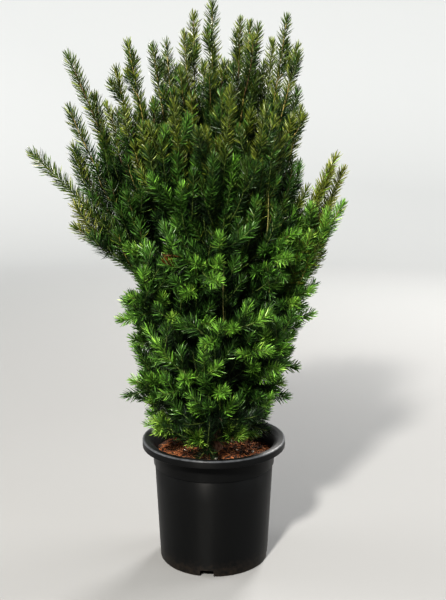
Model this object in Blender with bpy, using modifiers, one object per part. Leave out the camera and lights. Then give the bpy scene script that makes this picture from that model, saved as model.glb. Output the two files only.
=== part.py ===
"""Potted hillii yew: an upright yew of many leaders in a black nursery pot, in metres, +Z up.

The origin is at the middle of the pot's flat underside. +X is the plant's right as seen from the front,
and the front looks along +Y.
"""

import math
import random

import bmesh
import bpy
from mathutils import Matrix, Vector, noise
from mathutils.bvhtree import BVHTree
from mathutils.kdtree import KDTree

# Every pair of pieces that touch keeps this much room
GAP = 0.0003
# Points nearer than this count as one
WELD = 0.000001

# Pot
POT_HEIGHT = 0.243
POT_WALL = 0.0022
FOOT_RADIUS = 0.1068
FOOT_CHAMFER = 0.003
STEP_HEIGHT = 0.193
STEP_RADIUS = 0.1160
STEP_WIDTH = 0.0022
NECK_RADIUS = 0.1215
RIM_RADIUS = 0.140
RIM_DEPTH = 0.0145
LIP_INNER_RADIUS = 0.1285
LIP_FLARE = 0.007
LIP_ROUNDING = 0.003
POT_SIDES = 28
SHARP_ANGLE_DEG = 35.0
NOTCH_COUNT = 4
NOTCH_WIDTH = 0.026
NOTCH_HEIGHT = 0.012
NOTCH_DEPTH = 0.014
NOTCH_FIRST_DEG = 262.5

# Soil
SOIL_TOP = 0.214
SOIL_RELIEF = 0.005
SOIL_FLAT_RADIUS = 0.030
SOIL_RINGS = 4
SOIL_RUGGEDNESS = 38.0

# Trunk
TRUNK_TOP = 0.700
TRUNK_LEAN = (-0.006, 0.010)
TRUNK_SWAY = 0.004
TRUNK_RADIUS = 0.0125
TRUNK_TIP_RADIUS = 0.0045
FLARE_RADIUS = 0.0205
FLARE_HEIGHT = 0.030
TRUNK_SEGMENTS = 11
TRUNK_SIDES = 12

# Boughs
BOUGH_FOOT_RADIUS = 0.0065
BOUGH_TIP_RADIUS = 0.0036
BOUGH_SEGMENTS = 5
BOUGH_SIDES = 6
# A bough goes this share of the way to its aim, and bends this share of the way out
BOUGH_SHARE = 0.56
BOUGH_BEND = 0.62

# Twigs and needles, which are fewer and larger than life: a leafy stretch has a wider core
STEM_RADIUS = 0.0030
TWIG_RADIUS = 0.0024
LEAFY_RADIUS = 0.0085
TIP_RADIUS = 0.0035
ROW_SPACING = 0.0215
NEEDLES_A_ROW = 3
NEEDLE_LENGTH = 0.035
NEEDLE_OPENING_DEG = 50.0
BUD_LENGTH = 0.018
CORE_RADIUS = 0.050
CORE_SIDES = 6
LEAST_CORE = 0.005
CORE_CHECKS = (0.0, 0.4, 0.8)
TWIG_CLEARANCE = 0.0035
NEEDLE_CLEARANCE = 0.0012
NEEDLE_CHECKS = (0.2, 0.4, 0.6, 0.8, 1.0)
LEAST_ROWS = 3
SHRINK = 0.8
LEAST_BUD = 0.002
SITE_SPACING = 0.012
SITES_ASKED = 60
LIMB_SPACING = 0.003
CURVE_CHECKS = 24
SEAT_CHECKS = (0.0, 0.25, 0.5, 0.75)
SEAT_STEPS = 12
GOLDEN_DEG = 137.508
TURN_UP = 0.28
RIM_CLEARANCE = 0.012

# Leaders and arms: name, height of the bough's foot on the trunk, the bough's aim, then the tips of
# its shoots, of which the first is the stem's
LEADERS = (
    ("top", None, None, ((-0.002, 0.010, 1.060),)),
    ("left_a", 0.548, (-0.034, 0.030, 0.715), ((-0.036, 0.036, 1.042), (-0.052, -0.006, 1.004))),
    ("left_b", 0.520, (-0.068, 0.046, 0.690), ((-0.088, 0.058, 0.996), (-0.112, 0.030, 0.988))),
    (
        "left_c",
        0.455,
        (-0.108, -0.012, 0.675),
        ((-0.154, -0.008, 0.988), (-0.174, -0.038, 0.940), (-0.194, -0.012, 0.878)),
    ),
    (
        "left_edge",
        0.374,
        (-0.160, 0.012, 0.650),
        ((-0.264, 0.004, 0.967), (-0.262, -0.012, 0.872), (-0.222, 0.030, 0.896), (-0.262, 0.016, 0.802)),
    ),
    ("left_arm", 0.350, (-0.140, -0.045, 0.575), ((-0.329, -0.030, 0.792), (-0.250, -0.052, 0.700))),
    (
        "right_a",
        0.535,
        (0.040, 0.026, 0.705),
        ((0.050, 0.022, 1.031), (0.084, 0.046, 1.024), (0.067, -0.004, 1.022)),
    ),
    (
        "right_b",
        0.516,
        (0.088, 0.006, 0.690),
        ((0.134, 0.004, 1.034), (0.110, 0.030, 0.994), (0.151, -0.020, 0.981)),
    ),
    ("right_shoulder", 0.450, (0.112, -0.034, 0.612), ((0.158, -0.036, 0.870), (0.172, -0.030, 0.728))),
    (
        "right_arm",
        0.345,
        (0.122, -0.004, 0.525),
        ((0.226, -0.016, 0.786), (0.246, 0.022, 0.762), (0.238, -0.030, 0.700), (0.204, -0.012, 0.606)),
    ),
    ("front_left", 0.436, (-0.046, -0.070, 0.620), ((-0.069, -0.125, 0.880), (-0.110, -0.105, 0.840))),
    ("front", 0.458, (0.010, -0.068, 0.640), ((0.030, -0.125, 0.900), (-0.014, -0.130, 0.830))),
    ("front_right", 0.372, (0.060, -0.076, 0.600), ((0.090, -0.125, 0.870), (0.118, -0.095, 0.820))),
    ("back_left", 0.440, (-0.062, 0.086, 0.660), ((-0.098, 0.140, 0.960), (-0.150, 0.125, 0.900))),
    ("back", 0.528, (0.004, 0.092, 0.680), ((0.002, 0.150, 0.990), (0.040, 0.165, 0.915))),
    ("back_right", 0.366, (0.064, 0.086, 0.655), ((0.100, 0.135, 0.965), (0.145, 0.115, 0.900))),
)
LEADER_SHOOTS = 3
LEADER_CORE = (0.05, 0.14, 0.26, 0.38, 0.50)
LEADER_LEAFY = (0.30, 0.25)
LEADER_SHOOT_LENGTH = 0.095
LEADER_OPENING_DEG = 38.0
LEADER_SPAN = (0.05, 0.60)
LEADER_FORKS = (0.30, 0.22, 0.12)
LEADER_ONWARD = 0.35
LEADER_BULGE = 0.10

# Tiers of side sprays that grow from the trunk: name, how many, azimuth of the first, height of
# their feet, height of their tips, reach to the left and reach to the right. The tips of a tier
# lie high and low in turn
TIERS = (
    ("skirt", 4, 172.0, 0.236, 0.268, 0.128, 0.098),
    ("low", 5, 186.0, 0.262, 0.335, 0.156, 0.132),
    ("waist", 6, 178.0, 0.320, 0.425, 0.160, 0.164),
    ("middle", 6, 209.0, 0.400, 0.520, 0.186, 0.184),
    ("upper", 5, 176.0, 0.490, 0.630, 0.188, 0.165),
)
TIER_SHOOTS = 5
TIER_CORE = (0.22, 0.40, 0.58, 0.76, 0.92)
TIER_LEAFY = (0.72, 0.35)
TIER_SHOOT_LENGTH = 0.100
TIER_OPENING_DEG = 58.0
TIER_SPAN = (0.30, 0.85)
TIER_BULGE = -0.12
TIER_JITTER = 0.006
TIER_ZIGZAG = 0.020
TURN_ASIDE_DEG = (0, 6, -6, 12, -12, 18, -18, 24, -24)
STEM_CLEARANCE = 0.020

COLOURS = {
    "pot": ((0.016, 0.016, 0.017), 0.45),
    "soil": ((0.060, 0.030, 0.016), 0.95),
    "bark": ((0.110, 0.062, 0.036), 0.85),
    "bough": ((0.150, 0.085, 0.040), 0.80),
    "old_needles": ((0.030, 0.085, 0.022), 0.50),
    "new_needles": ((0.055, 0.170, 0.022), 0.45),
}


def material(name):
    """The Principled material of that name, made once."""
    made = bpy.data.materials.get(name)
    if made:
        return made
    colour, roughness = COLOURS[name]
    made = bpy.data.materials.new(name)
    made.use_nodes = True
    shader = made.node_tree.nodes["Principled BSDF"]
    shader.inputs["Base Color"].default_value = (*colour, 1.0)
    shader.inputs["Roughness"].default_value = roughness
    shader.inputs["Metallic"].default_value = 0.0
    made.diffuse_color = (*colour, 1.0)
    return made


def collection(name):
    made = bpy.data.collections.new(name)
    bpy.context.scene.collection.children.link(made)
    return made


def mesh_object(name, mesh, home, material_name):
    made = bpy.data.objects.new(name, mesh)
    home.objects.link(made)
    if not mesh.materials:
        mesh.materials.append(material(material_name))
    return made


def evaluated_mesh(obj):
    graph = bpy.context.evaluated_depsgraph_get()
    return bpy.data.meshes.new_from_object(obj.evaluated_get(graph))


def turned(name, profile, home, material_name):
    """A profile of (radius, height) points turned round the upright axis, smooth but for its edges."""
    outline = bpy.data.meshes.new(f"{name}_outline")
    points = [(radius, 0.0, height) for radius, height in profile]
    outline.from_pydata(points, [(i, i + 1) for i in range(len(points) - 1)], [])
    made = mesh_object(name, outline, home, material_name)
    screw = made.modifiers.new("Turn", "SCREW")
    screw.steps = POT_SIDES
    screw.render_steps = POT_SIDES
    screw.use_merge_vertices = True
    screw.merge_threshold = 0.0001
    mesh = evaluated_mesh(made)
    mesh.shade_smooth()
    mesh.set_sharp_from_angle(angle=math.radians(SHARP_ANGLE_DEG))
    made.modifiers.remove(screw)
    made.data = mesh
    return made


# Pot and soil


def wall_radius(height):
    """Outer radius of the pot's wall, with its step."""
    if height < STEP_HEIGHT:
        return FOOT_RADIUS + (STEP_RADIUS - FOOT_RADIUS) * height / STEP_HEIGHT
    share = (height - STEP_HEIGHT) / (POT_HEIGHT - STEP_HEIGHT)
    collar = STEP_RADIUS + STEP_WIDTH
    return collar + (NECK_RADIUS - collar) * share


def inner_radius(height):
    """Inner radius of the pot's wall, which runs straight from the floor to the step and on to the lip."""
    low, middle, high = POT_WALL, STEP_HEIGHT, POT_HEIGHT - LIP_FLARE
    low_radius = FOOT_RADIUS - POT_WALL
    middle_radius = wall_radius(STEP_HEIGHT - POT_WALL) - POT_WALL
    high_radius = wall_radius(high) - POT_WALL
    if height < middle:
        return low_radius + (middle_radius - low_radius) * (height - low) / (middle - low)
    return middle_radius + (high_radius - middle_radius) * (height - middle) / (high - middle)


def make_pot(home, cutters):
    under_rim = POT_HEIGHT - RIM_DEPTH
    under_flare = POT_HEIGHT - LIP_FLARE
    under_lip = under_flare - POT_WALL
    collar_start = STEP_HEIGHT + STEP_WIDTH
    profile = [
        (0.0, POT_WALL),
        (inner_radius(POT_WALL), POT_WALL),
        (inner_radius(STEP_HEIGHT), STEP_HEIGHT),
        (inner_radius(under_flare), under_flare),
        (LIP_INNER_RADIUS, POT_HEIGHT),
        (RIM_RADIUS - LIP_ROUNDING, POT_HEIGHT),
        (RIM_RADIUS, POT_HEIGHT - LIP_ROUNDING),
        (RIM_RADIUS, under_rim),
        (RIM_RADIUS - POT_WALL, under_rim),
        (RIM_RADIUS - POT_WALL, under_lip),
        (wall_radius(under_lip), under_lip),
        (wall_radius(collar_start), collar_start),
        (STEP_RADIUS, STEP_HEIGHT),
        (wall_radius(FOOT_CHAMFER), FOOT_CHAMFER),
        (FOOT_RADIUS - FOOT_CHAMFER, 0.0),
        (0.0, 0.0),
    ]
    pot = turned("pot", profile, home, "pot")
    for number in range(NOTCH_COUNT):
        turn = math.radians(NOTCH_FIRST_DEG + number * 360.0 / NOTCH_COUNT)
        bpy.ops.mesh.primitive_cube_add(size=1.0)
        notch = bpy.context.active_object
        notch.name = f"notch_{number + 1}"
        notch.scale = (NOTCH_DEPTH * 2, NOTCH_WIDTH, NOTCH_HEIGHT * 2)
        notch.location = (FOOT_RADIUS * math.cos(turn), FOOT_RADIUS * math.sin(turn), 0.0)
        notch.rotation_euler = (0.0, 0.0, turn)
        notch.hide_render = True
        notch.display_type = "WIRE"
        for holder in list(notch.users_collection):
            holder.objects.unlink(notch)
        cutters.objects.link(notch)
    drain = pot.modifiers.new("Drain notches", "BOOLEAN")
    drain.operation = "DIFFERENCE"
    drain.operand_type = "COLLECTION"
    drain.collection = cutters
    drain.solver = "EXACT"
    return pot


def make_soil(home):
    """The potting mix: it fills the pot to below the rim, with a level spot under the trunk."""
    edge = SOIL_TOP - SOIL_RELIEF
    floor = POT_WALL + GAP
    profile = [(0.0, SOIL_TOP), (SOIL_FLAT_RADIUS, SOIL_TOP)]
    for ring in range(1, SOIL_RINGS):
        share = ring / SOIL_RINGS
        profile.append((SOIL_FLAT_RADIUS + (inner_radius(edge) - SOIL_FLAT_RADIUS) * share, SOIL_TOP))
    profile += [
        (inner_radius(edge) - GAP, edge),
        (inner_radius(STEP_HEIGHT) - GAP, STEP_HEIGHT),
        (inner_radius(floor) - GAP, floor),
        (0.0, floor),
    ]
    soil = turned("soil", profile, home, "soil")
    for vertex in soil.data.vertices:
        radius = math.hypot(vertex.co.x, vertex.co.y)
        if vertex.co.z > edge + GAP and radius > SOIL_FLAT_RADIUS + GAP:
            vertex.co.z += SOIL_RELIEF * noise.noise(vertex.co * SOIL_RUGGEDNESS)
    return soil


# Limbs


def curve_point(start, bend, end, share):
    """A point on the quadratic curve from start to end, drawn towards bend."""
    return start * (1 - share) ** 2 + bend * 2 * share * (1 - share) + end * share**2


def limb_object(name, points, radii, sides, home, material_name):
    """A round tapering limb along the points."""
    curve = bpy.data.curves.new(name, "CURVE")
    curve.dimensions = "3D"
    curve.bevel_depth = 1.0
    curve.bevel_resolution = (sides - 4) // 2
    curve.use_fill_caps = True
    spline = curve.splines.new("POLY")
    spline.points.add(len(points) - 1)
    for point, place, radius in zip(spline.points, points, radii):
        point.co = (*place, 1.0)
        point.radius = radius
    curve.materials.append(material(material_name))
    made = bpy.data.objects.new(name, curve)
    home.objects.link(made)
    return made


def trunk_axis(height):
    """Middle of the trunk at that height."""
    share = max(0.0, height - SOIL_TOP - FLARE_HEIGHT) / (TRUNK_TOP - SOIL_TOP - FLARE_HEIGHT)
    sway = TRUNK_SWAY * math.sin(share * math.pi * 2.0)
    return Vector((TRUNK_LEAN[0] * share + sway, TRUNK_LEAN[1] * share, height))


def trunk_radius(height):
    above = height - SOIL_TOP
    share = above / (TRUNK_TOP - SOIL_TOP)
    flare = (FLARE_RADIUS - TRUNK_RADIUS) * max(0.0, 1 - above / FLARE_HEIGHT) ** 2
    return TRUNK_RADIUS + (TRUNK_TIP_RADIUS - TRUNK_RADIUS) * share + flare


def trunk_path():
    foot = SOIL_TOP + GAP
    heights = [foot, foot + FLARE_HEIGHT * 0.25, foot + FLARE_HEIGHT * 0.6]
    rise = TRUNK_TOP - SOIL_TOP - FLARE_HEIGHT
    for number in range(TRUNK_SEGMENTS - 1):
        heights.append(SOIL_TOP + FLARE_HEIGHT + rise * number / (TRUNK_SEGMENTS - 2))
    return [trunk_axis(height) for height in heights], [trunk_radius(height) for height in heights]


def on_trunk(height, direction, radius):
    """Where a limb of that radius, leaving the trunk in that direction, starts just clear of its bark."""
    outward = Vector((direction.x, direction.y, 0.0)).normalized()
    across = max(0.2, direction.dot(outward))
    along = abs(direction.z)
    return trunk_axis(height) + direction * ((trunk_radius(height) + GAP + radius * along) / across)


def surface_of(obj):
    mesh = evaluated_mesh(obj)
    places = [vertex.co for vertex in mesh.vertices]
    return BVHTree.FromPolygons(places, [face.vertices[:] for face in mesh.polygons])


def seated(foot, back, corners, bark):
    """Draws a limb's foot back in a direction until its end face is GAP clear of what carries it.
    The corners of that face are given from the foot."""
    for _ in range(SEAT_STEPS):
        spots = [
            foot + corner.lerp(after, part)
            for corner, after in zip(corners, corners[1:] + corners[:1])
            for part in SEAT_CHECKS
        ]
        foot = foot + back * (min(bark.find_nearest(spot)[3] for spot in spots) - GAP)
    return foot


def make_bough(name, points, radii, home, bark):
    """A bough whose foot sits on the trunk's bark: its first stretch moves level towards the trunk."""
    bough = limb_object(name, points, radii, BOUGH_SIDES, home, "bough")
    foot = points[0]
    away = [vertex.co - foot for vertex in evaluated_mesh(bough).vertices]
    corners = [corner for corner in away if corner.length < BOUGH_FOOT_RADIUS + GAP]
    inward = trunk_axis(foot.z) - foot
    shift = seated(foot, inward.normalized(), corners, bark) - foot
    for number in range(2):
        points[number] = points[number] + shift
        bough.data.splines[0].points[number].co = (*points[number], 1.0)
    return bough


def bough_path(foot_height, aim):
    """A bough that leaves the trunk outwards and then climbs towards its aim."""
    middle = trunk_axis(foot_height)
    tip = middle.lerp(Vector(aim), BOUGH_SHARE)
    away = tip - middle
    level = Vector((away.x, away.y, 0.0))
    bend = middle + level * BOUGH_BEND + Vector((0.0, 0.0, away.z * (1 - BOUGH_BEND)))
    direction = (bend - middle).normalized()
    start = on_trunk(foot_height, direction, BOUGH_FOOT_RADIUS + GAP)
    shares = [number / BOUGH_SEGMENTS for number in range(BOUGH_SEGMENTS + 1)]
    points = [curve_point(start, bend, tip, share) for share in shares]
    radii = [BOUGH_FOOT_RADIUS + (BOUGH_TIP_RADIUS - BOUGH_FOOT_RADIUS) * share for share in shares]
    return points, radii


# Growth rule of the crown


def stem_path(start, tip, bulge):
    """The three points of a shoot's curve, which bulges outwards, or sags where bulge is below zero."""
    along = tip - start
    outward = Vector((along.x, along.y, 0.0))
    bend = start + along * 0.5 + outward * bulge - Vector((0.0, 0.0, along.length * bulge))
    return start, bend, tip


def along_path(path, spacing):
    """Points along a shoot's curve, about that far apart."""
    count = max(3, round((path[2] - path[0]).length / spacing))
    return [curve_point(*path, number / count) for number in range(count + 1)]


def side_shoots(stem, count, length, opening, span, seed):
    """Shoots that leave a stem a golden angle apart, open outwards and then turn up."""
    dice = random.Random(seed)
    start, bend, tip = stem
    spin = dice.uniform(0, 360)
    shoots = []
    for number in range(count):
        share = span[0] + (span[1] - span[0]) * (number + dice.uniform(0.2, 0.8)) / count
        foot = curve_point(start, bend, tip, share)
        along = (curve_point(start, bend, tip, share + 0.05) - foot).normalized()
        side = along.orthogonal().normalized()
        side.rotate(Matrix.Rotation(math.radians(spin + number * GOLDEN_DEG), 3, along))
        opened = math.radians(opening) * dice.uniform(0.85, 1.15)
        heading = along * math.cos(opened) + side * math.sin(opened)
        reach = length * dice.uniform(0.8, 1.15) * (1.15 - 0.4 * share)
        end = foot + (heading + Vector((0.0, 0.0, TURN_UP))).normalized() * reach
        shoots.append((foot, foot + heading * reach * 0.5, end))
    return shoots


def tier_reach(azimuth, left, right):
    """Reach of a tier in that direction, between its reach to the left and to the right."""
    return (left + right) / 2 + (right - left) / 2 * math.cos(azimuth)


def clearance(path, others):
    """Least distance from a path's points to a tree of points."""
    shares = [number / CURVE_CHECKS for number in range(CURVE_CHECKS + 1)]
    return min(others.find(curve_point(*path, share))[2] for share in shares)


def tree_of(points):
    tree = KDTree(len(points))
    for number, point in enumerate(points):
        tree.insert(point, number)
    tree.balance()
    return tree


def plan_crown():
    """Every mass as (name, main shoots, twigs, young), and the boughs as (name, points, radii)."""
    boughs = []
    masses = []
    taken = []
    for number, (name, foot_height, aim, tips) in enumerate(LEADERS):
        if aim is None:
            points, _ = trunk_path()
        else:
            points, radii = bough_path(foot_height, aim)
            boughs.append((f"bough_{name}", points, radii))
            taken.extend(spaced(points))
        onward = (points[-1] - points[-2]).normalized()
        start = points[-1] + onward * GAP * 2
        tip = Vector(tips[0])
        stem = (start, start + onward * (tip - start).length * LEADER_ONWARD, tip)
        main = [stem]
        for share, tip in zip(LEADER_FORKS, tips[1:]):
            foot = curve_point(*stem, share)
            main.append(stem_path(foot, Vector(tip), LEADER_BULGE))
        twigs = side_shoots(
            stem, LEADER_SHOOTS, LEADER_SHOOT_LENGTH, LEADER_OPENING_DEG, LEADER_SPAN, number
        )
        masses.append((f"leader_{name}", main, twigs, False))
        for path in main:
            taken.extend(along_path(path, SITE_SPACING))
    for level, (name, count, first, foot, height, left, right) in enumerate(TIERS):
        for number in range(count):
            dice = random.Random(100 + level * 10 + number)
            lift = dice.uniform(-TIER_JITTER, TIER_JITTER) + TIER_ZIGZAG * (-1) ** number
            limbs = tree_of(taken)
            best = None
            for aside in TURN_ASIDE_DEG:
                azimuth = math.radians(first + number * 360.0 / count + aside)
                reach = tier_reach(azimuth, left, right)
                tip = Vector((math.cos(azimuth) * reach, math.sin(azimuth) * reach, height + lift))
                _, bend, _ = stem_path(trunk_axis(foot), tip, TIER_BULGE)
                away = (bend - trunk_axis(foot)).normalized()
                stem = stem_path(on_trunk(foot, away, STEM_RADIUS + GAP), tip, TIER_BULGE)
                room = clearance(stem, limbs)
                if best is None or room > best[0]:
                    best = (room, stem)
                if room > STEM_CLEARANCE:
                    break
            stem = best[1]
            taken.extend(along_path(stem, SITE_SPACING))
            seed = 200 + level * 10 + number
            twigs = side_shoots(
                stem, TIER_SHOOTS, TIER_SHOOT_LENGTH, TIER_OPENING_DEG, TIER_SPAN, seed
            )
            masses.append((f"{name}_{number + 1}", [stem], twigs, True))
    return masses, boughs


def spaced(points, step=0.008):
    """Points along a broken line, a step apart."""
    found = []
    for a, b in zip(points, points[1:]):
        parts = max(1, round((b - a).length / step))
        found.extend(a.lerp(b, number / parts) for number in range(parts))
    return found + [points[-1]]


# Each mass keeps to its own space


class Space:
    """Tells whether a point is nearest to its own mass's main shoots, and clear of limbs, pot and soil.
    An owner is the number of a mass and the number of a shoot in it."""

    def __init__(self, masses, limbs):
        sites = []
        self.masses = []
        self.shoots = []
        for number, (_, main, twigs, _) in enumerate(masses):
            places = []
            owners = []
            for shoot, path in enumerate([*main, *twigs]):
                points = along_path(path, SITE_SPACING)
                places.extend(points)
                owners.extend([shoot] * len(points))
                if shoot < len(main):
                    sites.extend(points)
                    self.masses.extend([number] * len(points))
            self.shoots.append((tree_of(places), owners))
        self.sites = tree_of(sites)
        centres = []
        self.radii = []
        for points, radii in limbs:
            for a, b, radius_a, radius_b in zip(points, points[1:], radii, radii[1:]):
                parts = max(1, round((b - a).length / LIMB_SPACING))
                for number in range(parts + 1):
                    centres.append(a.lerp(b, number / parts))
                    self.radii.append(radius_a + (radius_b - radius_a) * number / parts)
        self.limbs = tree_of(centres)

    def own(self, owner, point, margin):
        """Whether the mass's nearest site is nearer than any other mass's, by the distance to the
        plane between the two."""
        mine = None
        for place, index, distance in self.sites.find_n(point, SITES_ASKED):
            if self.masses[index] == owner[0]:
                mine = mine or (place, distance)
                continue
            if mine is None:
                return False
            apart = (place - mine[0]).length
            return (distance**2 - mine[1] ** 2) / (2 * apart) > margin
        return mine is not None

    def nearest(self, owner, point):
        """Whether the point is nearer to its own shoot than to its mass's other shoots."""
        tree, owners = self.shoots[owner[0]]
        return owners[tree.find(point)[1]] == owner[1]

    def clear(self, point, margin):
        for _, index, distance in self.limbs.find_range(point, FLARE_RADIUS + margin):
            if distance < self.radii[index] + margin:
                return False
        radius = math.hypot(point.x, point.y)
        floor = SOIL_TOP + SOIL_RELIEF
        if LIP_INNER_RADIUS - RIM_CLEARANCE < radius < RIM_RADIUS + RIM_CLEARANCE:
            floor = POT_HEIGHT
        return point.z > floor + margin

    def room(self, point, most):
        """Distance from a point to the nearest limb's bark, up to the most that matters."""
        for _, index, distance in self.limbs.find_range(point, FLARE_RADIUS + most):
            most = min(most, distance - self.radii[index])
        return most

    def free(self, owner, point, margin):
        return self.own(owner, point, margin) and self.clear(point, margin)


# Sprays


def rows_of(path, spacing, radius, owner, space, free_from):
    """Points along a shoot a row apart, up to where it would leave its space."""
    length = (path[1] - path[0]).length + (path[2] - path[1]).length
    count = max(2, round(length / spacing))
    rows = []
    for number in range(count * 4 + 1):
        share = number / (count * 4)
        point = curve_point(*path, share)
        if share > free_from and not space.free(owner, point, radius + TWIG_CLEARANCE / 2):
            break
        if number % 4 == 0:
            rows.append(point)
    return rows


def frames_of(rows):
    """A side direction at each row that doesn't twist along the shoot."""
    side = (rows[1] - rows[0]).orthogonal().normalized()
    frames = []
    for number, _ in enumerate(rows):
        along = (rows[min(number + 1, len(rows) - 1)] - rows[max(number - 1, 0)]).normalized()
        side = (side - along * side.dot(along)).normalized()
        frames.append((along, side, along.cross(side)))
    return frames


def widest(centre, outwards, wanted, owner, space):
    """The widest ring round a centre, up to the one wanted, that keeps to its space."""
    reach = min(wanted, space.room(centre, wanted + TWIG_CLEARANCE) - TWIG_CLEARANCE)
    while reach > TWIG_RADIUS and not all(
        space.free(owner, centre + outward * reach, TWIG_CLEARANCE) for outward in outwards
    ):
        reach *= SHRINK
    return max(reach, TWIG_RADIUS)


def spray(name, rows, radius, leafy_from, owner, space):
    """A slim three-sided core along the rows, turned a half step each row, whose upper faces
    stand out as needles."""
    mesh = bmesh.new()
    frames = frames_of(rows)
    opening = math.radians(NEEDLE_OPENING_DEG)
    step = 2 * math.pi / NEEDLES_A_ROW
    rings = []
    for number, (row, (_, side, across)) in enumerate(zip(rows, frames)):
        share = number / (len(rows) - 1)
        angles = [step * (corner + number / 2) for corner in range(NEEDLES_A_ROW)]
        outwards = [side * math.cos(angle) + across * math.sin(angle) for angle in angles]
        girth = radius
        if share >= leafy_from:
            leafy = LEAFY_RADIUS + (TIP_RADIUS - LEAFY_RADIUS) * share**2
            girth = widest(row, outwards, leafy, owner, space)
        rings.append([mesh.verts.new(row + outward * girth) for outward in outwards])
    mesh.faces.new(reversed(rings[0]))
    for number in range(len(rows) - 1):
        low, high = rings[number], rings[number + 1]
        along, side, across = frames[number + 1]
        share = (number + 1) / (len(rows) - 1)
        for corner in range(NEEDLES_A_ROW):
            after = (corner + 1) % NEEDLES_A_ROW
            mesh.faces.new((low[corner], low[after], high[corner]))
            feet = [high[corner].co, low[after].co, high[after].co]
            foot = sum(feet, Vector()) / 3
            angle = step * (corner + 1 + number / 2)
            outward = side * math.cos(angle) + across * math.sin(angle)
            heading = outward * math.sin(opening) + along * math.cos(opening)
            reach = NEEDLE_LENGTH * (1.0 - 0.25 * share**3)
            tip = foot + heading * reach
            checked = [place.lerp(tip, part) for place in feet for part in NEEDLE_CHECKS]
            grows = (
                share > leafy_from
                and space.nearest(owner, tip)
                and all(space.free(owner, at, NEEDLE_CLEARANCE) for at in checked)
            )
            if not grows:
                mesh.faces.new((high[corner], low[after], high[after]))
                continue
            apex = mesh.verts.new(tip)
            mesh.faces.new((high[corner], low[after], apex))
            mesh.faces.new((low[after], high[after], apex))
            mesh.faces.new((high[after], high[corner], apex))
    along = frames[-1][0]
    bud = BUD_LENGTH
    while bud > LEAST_BUD and not space.free(owner, rows[-1] + along * bud, NEEDLE_CLEARANCE):
        bud *= SHRINK
    end = mesh.verts.new(rows[-1] + along * bud)
    for corner in range(NEEDLES_A_ROW):
        mesh.faces.new((rings[-1][corner], rings[-1][(corner + 1) % NEEDLES_A_ROW], end))
    made = bpy.data.meshes.new(name)
    mesh.to_mesh(made)
    mesh.free()
    return made


def core_rooms(path, shares, space):
    """How wide a core can be at each of its inner rings before it would touch a limb."""
    most = CORE_RADIUS + TWIG_CLEARANCE
    rooms = []
    for before, share, after in zip(shares, shares[1:], shares[2:]):
        places = [share + (end - share) * part for end in (before, after) for part in CORE_CHECKS]
        room = min(space.room(curve_point(*path, place), most) for place in places)
        rooms.append(room - TWIG_CLEARANCE)
    return rooms


def dense_core(name, path, shares, rooms, owner, space):
    """A spindle round the middle of a stem, as wide as its space allows."""
    centres = [curve_point(*path, share) for share in shares]
    frames = frames_of(centres)
    mesh = bmesh.new()
    rings = []
    for centre, room, (_, side, across) in zip(centres[1:-1], rooms, frames[1:-1]):
        ring = []
        for corner in range(CORE_SIDES):
            angle = 2 * math.pi * corner / CORE_SIDES
            outward = side * math.cos(angle) + across * math.sin(angle)
            ring.append(mesh.verts.new(centre + outward * widest(centre, [outward], room, owner, space)))
        rings.append(ring)
    ends = [mesh.verts.new(centres[0]), mesh.verts.new(centres[-1])]
    along = (centres[-1] - centres[0]).normalized()
    for corner in range(CORE_SIDES):
        after = (corner + 1) % CORE_SIDES
        mesh.faces.new((rings[0][after], rings[0][corner], ends[0]))
        mesh.faces.new((rings[-1][corner], rings[-1][after], ends[1]))
        for low, high in zip(rings, rings[1:]):
            around = (low[corner], low[after], high[after], high[corner])
            foot = sum((vertex.co for vertex in around), Vector()) / 4
            outward = (foot - centres[2]).normalized()
            tip = foot + (outward + along * 0.5).normalized() * NEEDLE_LENGTH
            checked = [vertex.co.lerp(tip, part) for vertex in around for part in NEEDLE_CHECKS]
            if not all(space.free(owner, at, NEEDLE_CLEARANCE) for at in checked):
                mesh.faces.new(around)
                continue
            apex = mesh.verts.new(tip)
            for first, second in zip(around, (*around[1:], around[0])):
                mesh.faces.new((first, second, apex))
    bmesh.ops.triangulate(mesh, faces=mesh.faces[:])
    made = bpy.data.meshes.new(name)
    mesh.to_mesh(made)
    mesh.free()
    return made


def is_closed(mesh):
    """Whether every edge has two faces, also once points under WELD apart are one."""
    work = bmesh.new()
    work.from_mesh(mesh)
    sound = all(len(edge.link_faces) == 2 for edge in work.edges)
    bmesh.ops.remove_doubles(work, verts=work.verts[:], dist=WELD)
    sound = sound and all(len(edge.link_faces) == 2 for edge in work.edges)
    work.free()
    return sound


def largest_body(mesh):
    """Drops every loose scrap of a mesh."""
    work = bmesh.new()
    work.from_mesh(mesh)
    unseen = set(work.verts)
    bodies = []
    while unseen:
        front = [unseen.pop()]
        body = set(front)
        while front:
            for edge in front.pop().link_edges:
                for vertex in edge.verts:
                    if vertex in unseen:
                        unseen.remove(vertex)
                        body.add(vertex)
                        front.append(vertex)
        bodies.append(body)
    bodies.sort(key=len, reverse=True)
    for body in bodies[1:]:
        bmesh.ops.delete(work, geom=list(body), context="VERTS")
    work.to_mesh(mesh)
    work.free()


def fused(name, meshes, home, material_name):
    """One solid of the meshes, by a union on a collection."""
    first = mesh_object(name, meshes[0], home, material_name)
    if len(meshes) == 1:
        return first
    helpers = collection("helpers")
    for number, mesh in enumerate(meshes[1:]):
        mesh_object(f"{name}_shoot_{number + 1}", mesh, helpers, material_name)
    union = first.modifiers.new("Union", "BOOLEAN")
    union.operation = "UNION"
    union.operand_type = "COLLECTION"
    union.collection = helpers
    for solver in ("EXACT", "MANIFOLD"):
        union.solver = solver
        joined = evaluated_mesh(first)
        if is_closed(joined):
            break
    first.modifiers.remove(union)
    for helper in list(helpers.objects):
        bpy.data.objects.remove(helper)
    bpy.data.collections.remove(helpers)
    largest_body(joined)
    first.data = joined
    return first


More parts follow.
